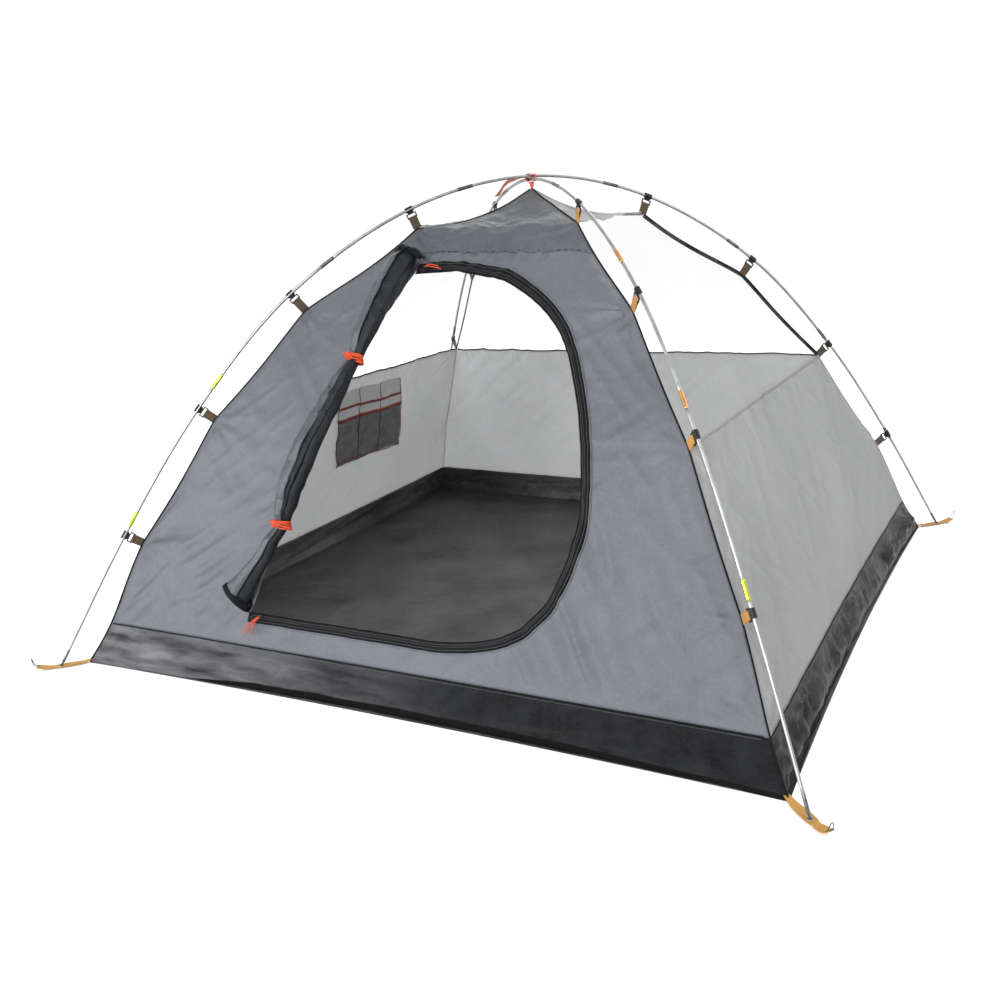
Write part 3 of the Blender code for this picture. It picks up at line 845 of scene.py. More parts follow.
def make_tub(side, mats):
    """Tub wall of glossy coated cloth, with floor cloth turned up along the ground, painted near-black as
    shade.
    """
    columns = int(2 * half_width(side, 0.0) / TUB_STEP) + 1
    low_rows, high_rows = 4, 14
    a = np.linspace(-1, 1, columns)
    split = np.interp(a, *TURNED_UP[side])
    split = split + 0.003 * noise(a * 14, 0.5, 140) * (split > 0.01)
    stations = [split * k / low_rows for k in range(low_rows)]
    stations += [split + (TUB_STATION - split) * k / high_rows for k in range(high_rows + 1)]
    s = np.concatenate(stations)
    rows = low_rows + high_rows + 1
    points = wall_points(side, np.tile(a, rows) * half_width(side, s), s)
    faces = wall_faces(side, rows, columns)
    # The front wall of the tub takes the copy with the painted highlight
    outer = mats["front_tub_painted_highlight" if side == "front" else "coated_tub"]
    made = piece(f"tub_cloth_{side}", points, faces, outer, "coated_tub", node=f"tub_{side}")
    for finish in ("turned_tub_painted_shade", "tub_inside_painted_light", "tub_inside_painted_light"):
        made.data.materials.append(mats[finish])
    # The turned-up band's faces take the near-black finish: painted shade
    for face in made.data.polygons[: low_rows * (columns - 1)]:
        face.material_index = 1
    thicken(made)
    # Inner faces take the lighter copy of the coated cloth: painted light
    made.modifiers["thickness"].material_offset = 2


def inside_outline(x, z, outline):
    """Which points lie inside a closed outline."""
    found = np.zeros(len(x), bool)
    for (x0, z0), (x1, z1) in zip(outline, np.roll(outline, -1, axis=0)):
        if z0 == z1:
            continue
        crosses = (z0 > z) != (z1 > z)
        found ^= crosses & (x < (x1 - x0) * (z - z0) / (z1 - z0) + x0)
    return found


def nearest_on(x, z, outline):
    dense = np.vstack([evenly(outline, 0.001), evenly(outline[[-1, 0]], 0.001)])
    place = [np.argmin((dense[:, 0] - a) ** 2 + (dense[:, 1] - b) ** 2) for a, b in zip(x, z)]
    return dense[place]


def make_front_wall(finish):
    """Front wall with the doorway: the grid's edge is moved on to the door's outline."""
    low, high = TUB_STATION, YOKE_STATION
    rows = int((high - low) / FRONT_STEP) + 1
    columns = int(2 * half_width("front", low) / FRONT_STEP) + 1
    s = np.repeat(np.linspace(low, high, rows), columns)
    u = np.tile(np.linspace(-1, 1, columns), rows) * half_width("front", s)
    z = np.interp(s, SEAM_LENGTHS, SEAM[:, 1])
    outline = smooth_curve(DOOR_CURVE, 12)
    faces = np.array(grid_faces(rows, columns))
    open_faces = inside_outline(u[faces].mean(axis=1), z[faces].mean(axis=1), outline)
    rim = np.intersect1d(faces[open_faces], faces[~open_faces])
    moved = nearest_on(u[rim], z[rim], outline)
    u[rim], s[rim] = moved[:, 0], seam_at_height(moved[:, 1])
    points = wall_points("front", u, s)
    kept = faces[~open_faces]
    used = np.unique(kept)
    index = np.full(len(points), -1)
    index[used] = np.arange(len(used))
    made = piece(
        "front_wall_cloth",
        points[used],
        [tuple(int(i) for i in index[face]) for face in kept],
        finish,
        "grey_fabric",
        node="front_wall",
    )
    thicken(made)


FLOOR_MARGIN = 0.0006
FLOOR_RISE = 0.0008
FLOOR_DRAWN_IN = 0.60


def make_floor(finish):
    """Floor cloth in long low folds, its edges drawn in under the tub walls."""
    count = 170
    a, b = np.meshgrid(np.linspace(-1, 1, count), np.linspace(-1, 1, count))
    drawn = FLOOR_DRAWN_IN * float(bow(0.0))
    x = a * (HALF_X - FLOOR_MARGIN - drawn * (1 - b**2) * np.abs(a))
    y = b * (HALF_Y - FLOOR_MARGIN - drawn * (1 - a**2) * np.abs(b))
    edge = np.clip((1 - np.maximum(np.abs(a), np.abs(b))) / 0.06, 0, 1)
    height = 0.0030 + 0.0050 * creases(x, y, 0.25, 0.11, 0.8, 120)
    height += 0.0036 * creases(x, y, -1.2, 0.09, 0.6, 121) + 0.0026 * noise(x / 0.2, y / 0.2, 122)
    z = FLOOR_RISE + edge * np.maximum(height, 0.0)
    points = np.stack([x, y, z], axis=-1).reshape(-1, 3)
    made = piece("floor_cloth", points, grid_faces(count, count), finish, "coated_floor", node="floor")


def make_roof(finish):
    """Left, back and right roof triangles up to the peak, as one sheet."""
    low, high = float(seam_at_height(ROOF_SEAM)), PEAK_STATION
    rows, count = 22, 40
    parts = []
    for side in ("left", "back", "right"):
        s = np.repeat(np.linspace(low, high, rows), count)
        a = np.tile(np.linspace(-1, 1, count), rows)
        parts.append((wall_points(side, a * half_width(side, s), s), wall_faces(side, rows, count)))
    made = piece("roof_netting", *joined(parts), finish, "fine_mesh", node="roof_mesh")
    weld = made.modifiers.new("weld", "WELD")
    weld.merge_threshold = 0.0005


# Mesh steps of the panels: the visible wall, the other walls, and the rest
FINE_STEP, PLAIN_STEP, NET_STEP = 0.0075, 0.010, 0.03
YOKE_STEP, FRONT_STEP, TUB_STEP = 0.0055, 0.0085, 0.007


def make_canopy(mats):
    make_floor(mats["coated_floor"])
    top, roof = float(seam_at_height(LOWER_WALL_TOP)), float(seam_at_height(ROOF_SEAM))
    pale, net = mats["light_fabric"], mats["wall_net"]
    for side in SIDES:
        make_tub(side, mats)
        if side == "front":
            continue
        lower, upper = f"lower_wall_{side}", f"mesh_wall_{side}"
        step = FINE_STEP if side == "right" else PLAIN_STEP
        panel(f"lower_cloth_{side}", side, TUB_STATION, top, pale, "light_fabric", step, lower, solid=False)
        panel(f"netting_{side}", side, top, roof, net, "fine_mesh", NET_STEP, upper, solid=False)
    make_front_wall(mats["grey_fabric"])
    yoke = mats["yoke_fabric"]
    stations = (YOKE_STATION, PEAK_STATION)
    panel("yoke_cloth", "front", *stations, yoke, "grey_fabric", YOKE_STEP, "front_yoke")
    make_roof(mats["roof_net"])


# Seams

def ridge_curve(corner, low, high, proud=0.0):
    """Curve up a corner seam between two stations."""
    signs = CORNERS[corner]
    s = np.arange(low, high, 0.006)
    side = "front" if signs[1] < 0 else "back"
    return wall_points(side, signs[0] * half_width(side, s), s, proud, folds=0.0)


def seam_line(side, station, proud, low, high):
    """Curve along a wall at one station, and the wall's outward directions there."""
    u = np.arange(low, high, 0.006 / half_width(side, station)) * half_width(side, station)
    s = np.full_like(u, station)
    near = wall_points(side, u, s, proud)
    return near, wall_points(side, u, s, proud + PROBE) - near


def make_ridges(mats):
    """Fine piping up the corners, and black webs where two netting walls meet."""
    web_low, web_high = HANGER_STATIONS[1], HANGER_STATIONS[3]
    for corner, signs in CORNERS.items():
        front = signs[1] < 0
        lower = mats["zip_tape"] if front else mats["light_fabric"]
        curve = ridge_curve(corner, 0.004, PEAK_STATION if front else web_low, PIPING_PROUD)
        points, faces = swept(curve, 0.0022 if front else 0.0017, 8)
        piece(f"corner_piping_{corner}", points, faces, lower, "zip_tape" if front else "light_fabric")
        if front:
            continue
        curve = ridge_curve(corner, web_low, web_high, PIPING_PROUD)
        flat = np.tile((-signs[1] * DIAGONAL_Y, signs[0] * DIAGONAL_X, 0.0), (len(curve), 1))
        piece(f"ridge_web_{corner}", *swept(curve, 0.0062, 10, 0.16, flat), mats["zip_tape"], "zip_tape")
        curve = ridge_curve(corner, web_high, PEAK_STATION, PIPING_PROUD)
        piece(f"roof_piping_{corner}", *swept(curve, 0.0016, 8), mats["roof_edge"], "fine_mesh")


def make_hem(name, side, station, reach, radius, finish, slot):
    curve, outs = seam_line(side, station, PIPING_PROUD, *reach)
    piece(name, *swept(curve, radius, 8, 0.6, outs), finish, slot)


def make_stitch_rows(name, side, station, shifts, reach, finish, slot):
    rows = [stitches(*seam_line(side, station + shift, STITCH_PROUD, *reach)) for shift in shifts]
    piece(name, *joined(rows), finish, slot, smooth=False)


def make_seams(mats):
    """Bindings and piping along the seams, with their rows of stitches."""
    make_ridges(mats)
    top, roof = float(seam_at_height(LOWER_WALL_TOP)), float(seam_at_height(ROOF_SEAM))
    wide, stitched = (-0.99, 0.99), (-0.98, 0.98)
    for side in SIDES:
        make_hem(f"tub_seam_{side}", side, TUB_STATION, wide, 0.0016, mats["zip_tape"], "coated_tub")
        shifts = (-0.006, 0.006)
        make_stitch_rows(
            f"tub_stitches_{side}", side, TUB_STATION, shifts, stitched, mats["thread"], "coated_tub"
        )
        if side == "front":
            continue
        binding = mats["hem_tape"] if side == "right" else mats["zip_tape"]
        make_hem(f"hem_binding_{side}", side, top, wide, 0.0030, binding, "light_fabric")
        make_stitch_rows(
            f"hem_stitches_{side}", side, top - 0.007, (0.0,), stitched, mats["thread"], "light_fabric"
        )
        make_hem(f"roof_seam_{side}", side, roof, wide, 0.0014, mats["roof_edge"], "fine_mesh")
    # The rolled door covers the yoke seam's left end
    thread, reach, stitched = mats["thread"], (-0.50, 0.99), (-0.49, 0.98)
    make_hem("yoke_seam", "front", YOKE_STATION, reach, 0.0014, thread, "grey_fabric")
    shifts = (-0.005, 0.005)
    make_stitch_rows("yoke_stitches", "front", YOKE_STATION, shifts, stitched, thread, "grey_fabric")
    # Dark marks along the yoke seam in the near-black tape finish: painted shade in the gathers of the grey
    # cloth
    line = seam_line("front", YOKE_STATION + 0.002, 0.0006, *stitched)
    points, faces = stitches(*line, 0.011, 0.009, 0.0024)
    piece("yoke_gather_shade_marks", points, faces, mats["zip_tape"], "grey_fabric", smooth=False)


# Door

def door_offsets(curve):
    along = np.gradient(curve, axis=0)
    along /= np.linalg.norm(along, axis=1)[:, None]
    return np.column_stack([along[:, 1], -along[:, 0]])


def door_line(reach, proud, step=0.006, spare=0.0):
    """Curve round the doorway, reach inside its outline, with its outward directions."""
    curve = evenly(smooth_curve(DOOR_CURVE, 12), step)
    if spare:
        lengths = lengths_along(curve)
        keep = (lengths > spare) & (lengths < lengths[-1] - spare)
        curve = curve[keep]
    moved = curve + door_offsets(curve) * reach
    near = front_points(moved[:, 0], moved[:, 1], proud)
    return near, front_points(moved[:, 0], moved[:, 1], proud + PROBE) - near


# Across the zip tape, as (how far inside the door's outline, how far off the wall)
ZIP_TAPE = (
    (-0.005, 0.0012),
    (0.0, 0.0022),
    (0.005, 0.0020),
    (0.010, 0.0016),
    (0.0155, 0.0012),
    (0.0205, 0.0008),
)
ZIP_STITCHES = ((-0.0100, 0.0006), (0.001, 0.0036), (0.0140, 0.0030))


def make_zip(mats):
    """Black tape with a raised coil, an outer piping and rows of stitches."""
    lines = [door_line(reach, proud)[0] for reach, proud in ZIP_TAPE]
    ripple = 0.0010 * noise(np.arange(len(lines[0])) / 3.0, 0.5, 150)
    for line, share in zip(lines[3:], (0.5, 1.0, 1.6)):
        line[:, 1] -= ripple * share
    shape = woven(np.stack(lines, axis=1))
    made = piece("zip_tape_cloth", *shape, mats["zip_tape"], "zip_tape", node="door_zip")
    thicken(made, TAPE_THICKNESS, 1.0)
    curve, outs = door_line(0.009, 0.0034, 0.0011)
    beads = np.where(np.arange(len(curve)) % 2, 0.0021, 0.0014)
    piece("zip_coil", *swept(curve, beads, 6, 0.8, outs), mats["black_plastic"], "zip_tape")
    curve, outs = door_line(-0.0065, 0.0016)
    piece("door_piping", *swept(curve, 0.0019, 8, 0.7, outs), mats["grey_fabric"], "grey_fabric")
    rows = [stitches(*door_line(reach, proud, spare=0.01)) for reach, proud in ZIP_STITCHES]
    piece("door_stitches", *joined(rows), mats["thread"], "zip_tape", smooth=False)


# Rolled door: turns of its spiral, flatness, and hem tape's place
ROLL_TURNS, ROLL_FLATNESS = 4, 0.85
ROLL_HEM_SHARES = (0.983, 0.992, 1.0)


def roll_station(share):
    """Centre, outward direction, and radius of the rolled door at a share of its length."""
    x, z, radius = point_at(ROLL, ROLL_LENGTHS, share * ROLL_LENGTHS[-1])
    skin = front_points(x, z)
    out = front_points(x, z, 1.0) - skin
    return skin + out * (radius * 0.80 + 0.005), out, radius


def roll_surface(share, turned, reach):
    """Points round the roll, with its bottom end cut aslant as the door's hem is."""
    centre, out, _ = roll_station(share)
    slant = 1.05 * np.clip((share - 0.80) / 0.20, 0, 1) ** 2
    across, lift = reach * np.cos(turned), reach * np.sin(turned) * ROLL_FLATNESS
    return centre + RIGHT * across[:, None] + out * lift[:, None] - UP * (slant * across)[:, None]


def make_rolled_door(mats):
    """The door's cloth as a real spiral, its outer grey side showing along the left as a paler strip that
    also serves as a painted highlight where the light falls.
    """
    per_turn, rows = 40, 190
    angles = np.linspace(0, 2 * math.pi * ROLL_TURNS, ROLL_TURNS * per_turn)
    grow = 0.34 + 0.66 * angles / angles[-1]
    points = []
    for share in np.linspace(0, 1, rows):
        radius = roll_station(share)[2]
        fold = 1 + 0.13 * noise(angles * 1.6, share * 10.0, 160) * grow
        fold += 0.07 * creases(angles, np.full_like(angles, share * 26.0), 0.5, 0.9, 5.0, 161)
        points.append(roll_surface(share, 0.35 - angles + 1.1 * share, radius * grow * fold))
    made = piece(
        "rolled_door_cloth",
        *woven(points),
        mats["rolled_fabric"],
        "rolled_fabric",
        body="door_roll",
        node="rolled_door",
    )
    # Paler strip down the roll's left side: the door's outer cloth, placed only on the lit side as a
    # painted highlight
    points = []
    for share in np.linspace(0.02, 0.985, rows):
        radius = roll_station(share)[2]
        turned = np.linspace(0.47 - 0.07 * share, 1.12, 18) * math.pi
        ruffle = 0.0028 * noise(turned * 2.5, share * 17, 163) + 0.0016 * noise(turned * 6, share * 40, 164)
        edge = 0.006 * noise(share * 9, 0.5, 165) * np.clip((1.0 - turned / math.pi) / 0.6, 0, 1)
        points.append(roll_surface(share, turned, radius * 1.07 + 0.0010 + ruffle + edge))
    outer = mats["roll_outer_painted_highlight"]
    made = piece("door_outer_strip_painted_highlight", *woven(points), outer, "grey_fabric", body="door_roll")
    thicken(made, CLOTH_THICKNESS, 1.0)
    make_roll_ends(mats)
    make_ties(mats)


def make_roll_ends(mats):
    """Zip tape round the roll's lower end, and the gathered cloth at its upper end."""
    turned = np.linspace(0, 2 * math.pi, 60)
    rings = [roll_surface(share, turned, roll_station(share)[2] * 1.14) for share in ROLL_HEM_SHARES]
    made = piece("roll_hem_tape", *woven(rings), mats["zip_tape"], "zip_tape", body="door_roll")
    thicken(made, HEM_TAPE_THICKNESS, 0.0)
    centre, out, _ = roll_station(0.012)
    parts = []
    for k in range(9):
        layer = k % 3
        route = (
            (0.005 * k - 0.036, 0.002 * k - 0.012, 0.010 + 0.005 * layer),
            (0.007 * k - 0.016, 0.018 - 0.002 * k, 0.018 + 0.005 * layer),
            (0.005 * k + 0.022, -0.002 - 0.006 * layer, 0.004 + 0.004 * layer),
        )
        fold = smooth_curve([centre + RIGHT * x + UP * z + out * y for x, z, y in route], 10)
        parts.append(swept(fold, 0.0100 - 0.0010 * layer, 12, 0.55))
    piece("roll_top_gather", *joined(parts), mats["rolled_fabric"], "rolled_fabric", body="door_roll")


# Door ties: rise of each turn of cord, the radii, and each tie's tails as (right, down)
TIE_TURNS = (-0.0085, -0.004, 0.0005, 0.005, 0.0095)
TIE_CORD, TIE_KNOT, TIE_TAIL = 0.0027, 0.0038, 0.0021
TIE_TAILS = (((-0.018, -0.004), (0.020, 0.008)), ((-0.018, -0.002), (0.052, 0.008)))


def make_ties(mats):
    """Cord wound round the roll at each tie, with a knot and two tails."""
    for k, (height, tails) in enumerate(zip(TIE_HEIGHTS, TIE_TAILS)):
        share = np.interp(-height, -ROLL[:, 1], ROLL_LENGTHS) / ROLL_LENGTHS[-1]
        centre, out, radius = roll_station(share)
        parts = []
        turns = np.linspace(0, 2 * math.pi, 48)
        for tilt in TIE_TURNS:
            lift = radius * 1.16 + 0.0014
            rise = tilt + 0.0030 * np.sin(turns + tilt * 300)
            ring = centre + RIGHT * (lift * np.cos(turns))[:, None] + UP * rise[:, None]
            ring = ring + out * (lift * np.sin(turns) * 0.88)[:, None]
            parts.append(swept(ring, TIE_CORD, 8))
        knot = centre + out * radius * 1.10 - RIGHT * radius * 0.45
        for lean in np.linspace(0, math.pi, 6)[:-1]:
            axis = RIGHT * math.cos(lean) + UP * math.sin(lean)
            loop = [knot - axis * 0.010, knot + out * 0.009 + axis * 0.002, knot + axis * 0.010]
            parts.append(swept(smooth_curve(loop, 8), TIE_KNOT, 8))
        for way, drop in tails:
            end = knot + RIGHT * way - UP * drop + out * 0.002
            middle = (knot + end) / 2 + out * 0.010
            parts.append(swept(smooth_curve([knot, middle, end], 8), TIE_TAIL, 8))
        piece(f"door_tie_{k + 1}", *joined(parts), mats["pull_cord"], "pull_cord", body="door_roll")


def slider_place(name):
    """Middle of a zip slider on the tape, with its right, up and outward directions."""
    low, high = (np.array(corner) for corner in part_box(name))
    x = (low[0] + high[0]) / 2
    z = DOOR_CURVE[0][1] - 0.012 if "top" in name else DOOR_CURVE[-1][1] + 0.012
    base = front_points(x, z, 0.0052)
    out = front_points(x, z, 1.0052) - base
    up = np.cross(out, RIGHT)
    return base, RIGHT, up * math.copysign(1, up[2]), out


def make_sliders(mats):
    """Zip sliders: a plastic body with a bridge."""
    for name in ("zip_slider_top", "zip_slider_bottom"):
        base, right, up, out = slider_place(name)
        axes = (right, up, out)
        parts = [
            block(base + out * 0.0012, axes, (0.013, 0.010, 0.0022)),
            block(base + out * 0.0026, axes, (0.009, 0.0075, 0.0014)),
            block(base + out * 0.0060, axes, (0.008, 0.0022, 0.0012)),
            block(base + out * 0.0045 + right * 0.0036, axes, (0.0012, 0.0022, 0.0036)),
            block(base + out * 0.0045 - right * 0.0036, axes, (0.0012, 0.0022, 0.0036)),
        ]
        finish, place = mats["black_plastic"], (name, name)
        made = piece(name + "_body", *joined(parts), finish, "pull_cord", *place, smooth=False)
        bevel = made.modifiers.new("bevel", "BEVEL")
        bevel.width, bevel.segments = 0.0004, 2


# Cords

def corner_directions(signs):
    """Level directions out along a corner's diagonal, and across it."""
    along = np.array((signs[0] * DIAGONAL_X, signs[1] * DIAGONAL_Y, 0.0))
    return along, np.array((-along[1], along[0], 0.0))


def make_cord(name, route, diameter, finish, slot, far_end, body=ROOT, lay="loose"):
    """Round cord along a route."""
    curve = evenly(smooth_curve(route, 12), 0.0012)
    points, faces = swept(curve, diameter / 2, 10)
    made = piece(name, points, faces, finish, slot, body)


PULL_CORD = 0.0030
PEG_CORD = 0.0026
WEBBING_END = 1.572
WEBBING_RISE = 0.0125
# One leg of a peg cord's loop from the webbing's end, as (along, across, up), then its tip
PEG_CORD_LEG = ((0.0, 0.0050, 0.0), (0.007, 0.0062, 0.006), (0.012, 0.0055, 0.016), (0.014, 0.0030, 0.025))
PEG_CORD_TIP = (0.0145, 0.0275)
# Ends of each slider's pulls from its bridge, as (right, up, outward)
PULL_ENDS = {
    "zip_slider_top": ((0.058, -0.010, 0.001), (0.044, -0.002, 0.003)),
    "zip_slider_bottom": ((-0.050, -0.050, 0.003), (-0.034, -0.048, 0.006), (-0.018, -0.044, 0.002)),
}


def make_cords(mats):
    """Zip pulls, and the peg loops at the ends of the corner webbing."""
    for name, ends in PULL_ENDS.items():
        base, right, up, out = slider_place(name)
        for k, (x, z, y) in enumerate(ends):
            start = base + out * 0.0085 + right * 0.0030 * (k - 1)
            end = start + right * x + up * z + out * y
            middle = (start + end) / 2 + out * 0.007 + up * 0.004 * (k - 0.5)
            route = [start, start * 0.7 + middle * 0.3 + out * 0.003, middle, end]
            finish = mats["pull_cord"]
            place = (name, "hanging")
            make_cord(f"{name}_pull_{k + 1}", route, PULL_CORD, finish, "pull_cord", "bare", *place)
    for corner, signs in CORNERS.items():
        along, across = corner_directions(signs)
        base = along * (WEBBING_END - 0.003) + UP * WEBBING_RISE
        legs = [base + along * a + across * b + UP * z for a, b, z in PEG_CORD_LEG]
        other = [base + along * a - across * b + UP * z for a, b, z in reversed(PEG_CORD_LEG)]
        tip = base + along * PEG_CORD_TIP[0] + UP * PEG_CORD_TIP[1]
        route = [*legs, tip, *other]
        finish = mats["green_cord"]
        make_cord(f"peg_cord_{corner}", route, PEG_CORD, finish, "ochre_webbing", "object")


# Poles and hangers

def pole_curve(signs, lift):
    half = [(share * HALF_DIAGONAL, z) for share, z in POLE_PROFILE]
    profile = half + [(-r, z) for r, z in reversed(half[:-1])]
    curve = smooth_curve(profile)
    raised = curve[:, 1] + lift * np.exp(-((curve[:, 0] / CROSSING_SPREAD) ** 2))
    x, y = signs[0] * DIAGONAL_X * curve[:, 0], signs[1] * DIAGONAL_Y * curve[:, 0]
    return np.stack([x, y, raised], axis=1)


def rod(curve, lengths, stations, radii, sides=20):
    ups = np.tile((0.0, 0.0, 1.0), (len(stations), 1)) + np.array((0.001, 0.002, 0.0))
    return swept(point_at(curve, lengths, np.array(stations)), np.array(radii), sides, 1.0, ups)


JOINT_GAP = 0.0003
TIP_LENGTH = 0.056
# Pole tip from its point, as (distance, radius)
TIP_PROFILE = (
    (0.0024, 0.0024),
    (0.003, 0.0026),
    (0.017, 0.0026),
    (0.0185, 0.0042),
    (0.030, 0.0044),
    (0.055, 0.0045),
    (0.058, 0.0042),
)
# Anodised colour of each ferrule from a pole's first end
FERRULE_COLOURS = {
    "a": ("lime", "lime", *["gunmetal"] * 6),
    "b": ("lime", "copper", "copper", *["gunmetal"] * 5),
}


def make_pole(letter, signs, lift, mats):
    """Tube sections with rolled ends, an anodised ferrule at each joint, and the tips."""
    curve = pole_curve(signs, lift)
    lengths = lengths_along(curve)
    total = lengths[-1]
    for k in range(POLE_SECTIONS):
        first, last = k == 0, k == POLE_SECTIONS - 1
        start = TIP_LENGTH if first else total * k / POLE_SECTIONS + FERRULE_LENGTH
        end = total - TIP_LENGTH if last else total * (k + 1) / POLE_SECTIONS - JOINT_GAP
        inner = np.linspace(start + 0.0012, end - 0.0012, 28)
        stations = [start, *inner, end]
        rolled = POLE_RADIUS - 0.0006
        radii = [rolled, *([POLE_RADIUS] * len(inner)), rolled]
        points, faces = rod(curve, lengths, stations, radii)
        node = f"pole_{letter}_section_{k + 1}"
        piece(node + "_tube", points, faces, mats["pole"], "aluminium_pole", node=node)
        if first:
            continue
        low, high = start - FERRULE_LENGTH + JOINT_GAP, start + 0.004
        stations = [low, low + 0.0012, *np.linspace(low + 0.004, high - 0.004, 5), high - 0.0012, high]
        radii = [POLE_RADIUS, *([FERRULE_RADIUS] * 7), POLE_RADIUS]
        points, faces = rod(curve, lengths, stations, radii)
        finish = mats[FERRULE_COLOURS[letter][k - 1] + "_anodised"]
        piece(f"ferrule_{letter}_{k}", points, faces, finish, "aluminium_pole")
    for end, corner in ((0, "start"), (1, "end")):
        stations = [s if end == 0 else total - s for s, _ in TIP_PROFILE]
        radii = [radius for _, radius in TIP_PROFILE]
        if end:
            stations, radii = stations[::-1], radii[::-1]
        points, faces = rod(curve, lengths, stations, radii)
        piece(f"pole_{letter}_tip_{corner}", points, faces, mats["gunmetal_anodised"], "aluminium_pole")
    return curve, lengths


def hanger_axes(signs, curve, lengths, share, station, far_end):
    radii = np.hypot(curve[:, 0], curve[:, 1]) * np.sign(curve[:, 0] * signs[0])
    order = np.argsort(radii)
    s = np.interp(share * HALF_DIAGONAL, radii[order], lengths[order])
    on_pole = point_at(curve, lengths, s)
    along = tangent_at(curve, lengths, s) * (-1 if far_end else 1)
    seam_share, seam_z = SEAM_PROFILE[2 + station]
    reach_flat = seam_share * HALF_DIAGONAL
    seam = np.array((signs[0] * DIAGONAL_X * reach_flat, signs[1] * DIAGONAL_Y * reach_flat, seam_z))
    gap = on_pole - seam
    out = gap - along * gap.dot(along)
    reach = float(np.linalg.norm(out))
    out = out / reach
    return on_pole - out * reach, out, np.cross(along, out), along, reach


def outline_solid(outline, half, place, bevel=0.0):
    """Extruded outline, in the hanger's own axes, with its long edges rounded."""
    shape = bmesh.new()
    bottom = [shape.verts.new((u, v, -half)) for u, v in outline]
    face = shape.faces.new(bottom)
    extruded = bmesh.ops.extrude_face_region(shape, geom=[face])
    top = [item for item in extruded["geom"] if isinstance(item, bmesh.types.BMVert)]
    bmesh.ops.translate(shape, verts=top, vec=(0, 0, 2 * half))
    bmesh.ops.recalc_face_normals(shape, faces=shape.faces)
    if bevel:
        edges = list(shape.edges)
        bmesh.ops.bevel(
            shape, geom=edges, offset=bevel, segments=2, affect="EDGES", clamp_overlap=True
        )
    shape.verts.index_update()
    origin, out, side, along = place
    points = [origin + out * v.co.x + side * v.co.y + along * v.co.z for v in shape.verts]
    faces = [tuple(v.index for v in f.verts) for f in shape.faces]
    shape.free()
    return points, faces


def arc(centre, radius, start, end, count):
    turns = np.radians(np.linspace(start, end, count))
    return [(centre + radius * math.cos(t), radius * math.sin(t)) for t in turns]


# Hanger: hook round the pole, loop for the strap, strap and its stitched boxes
HOOK_INNER = POLE_RADIUS + 0.0010
HOOK_OUTER = POLE_RADIUS + 0.0036
HOOK_HALF_WIDTH = 0.0115
HOOK_OPENING = (128, 412)
LOOP_BAR, LOOP_HOLE, LOOP_WIDTH, LOOP_THICKNESS = 0.0030, 0.0085, 0.030, 0.0034
STRAP_HALF_WIDTH = 0.0125
STRAP_LOOP_RADIUS = 0.0030


def make_hanger(name, axes, mats):
    """Webbing strap folded through a plastic loop, which carries the hook on the pole."""
    origin, out, side, along, reach = axes
    place = (origin, out, side, along)
    start, end = HOOK_OPENING
    hook = arc(reach, HOOK_INNER, start, end, 26) + arc(reach, HOOK_OUTER, end, start, 26)
    parts = [outline_solid(hook, HOOK_HALF_WIDTH, place, 0.0004)]
    neck = reach - HOOK_OUTER
    parts.append(block(origin + out * (neck - 0.0012), (out, side, along), (0.0048, 0.0050, 0.017)))
    far = neck - 0.0045
    near = far - LOOP_BAR - LOOP_HOLE
    for u in (far, near):
        parts.append(block(origin + out * u, (out, side, along), (LOOP_BAR, LOOP_THICKNESS, LOOP_WIDTH)))
    for end in (-1, 1):
        middle = origin + out * (far + near) / 2 + along * end * (LOOP_WIDTH - LOOP_BAR) / 2
        sizes = (far - near + LOOP_BAR, LOOP_THICKNESS, LOOP_BAR)
        parts.append(block(middle, (out, side, along), sizes))
    finish, owner = mats["black_plastic"], (name, name)
    made = piece(f"{name}_hook", *joined(parts), finish, "ochre_webbing", *owner, smooth=False)
    bevel = made.modifiers.new("bevel", "BEVEL")
    bevel.width, bevel.segments, bevel.limit_method = 0.0004, 2, "ANGLE"
    made.data.shade_smooth()
    made.data.set_sharp_from_angle(angle=math.radians(35))
    # Only the front right straps keep the ochre webbing; the others take the darker copy as painted shade
    webbing = mats["ochre_webbing" if "front_right" in name else "webbing_painted_shade"]
    run = np.linspace(0.0012, near, 9)
    upper = [(u, 0.0006 + 0.0022 * ((u - run[0]) / (near - run[0])) ** 2) for u in run]
    path = upper + arc(near, STRAP_LOOP_RADIUS, 90, -90, 9) + [(u, -v) for u, v in reversed(upper)]
    rows = []
    for w in np.linspace(-STRAP_HALF_WIDTH, STRAP_HALF_WIDTH, 7):
        crown = 0.0002 * math.cos(w / STRAP_HALF_WIDTH * math.pi / 2)
        rows.append([origin + out * u + side * (v + math.copysign(crown, v)) + along * w for u, v in path])
    made = piece(f"{name}_strap", *woven(rows), webbing, "ochre_webbing", name)
    thicken(made, STRAP_THICKNESS, 0.0)
    box_row = []
    for u in (run[2], run[5]):
        start = origin + out * u + side * 0.0020
        line = np.array([start + along * w for w in np.linspace(-0.010, 0.010, 9)])
        box_row.append(stitches(line, np.tile(side, (9, 1)), 0.002, 0.0012, 0.0007))
    piece(f"{name}_stitches", *joined(box_row), mats["thread"], "ochre_webbing", name, smooth=False)


def make_poles(mats):
    lift = POLE_RADIUS + CROSSING_GAP / 2
    pairs = (("a", "front_left", "back_right", lift), ("b", "front_right", "back_left", -lift))
    for letter, start, end, rise in pairs:
        curve, lengths = make_pole(letter, CORNERS[start], rise, mats)
        for corner in (start, end):
            for k, share in enumerate(HANGER_SHARES):
                axes = hanger_axes(CORNERS[corner], curve, lengths, share, k, corner == end)
                make_hanger(f"hanger_{corner}_{k + 1}", axes, mats)


# Trim

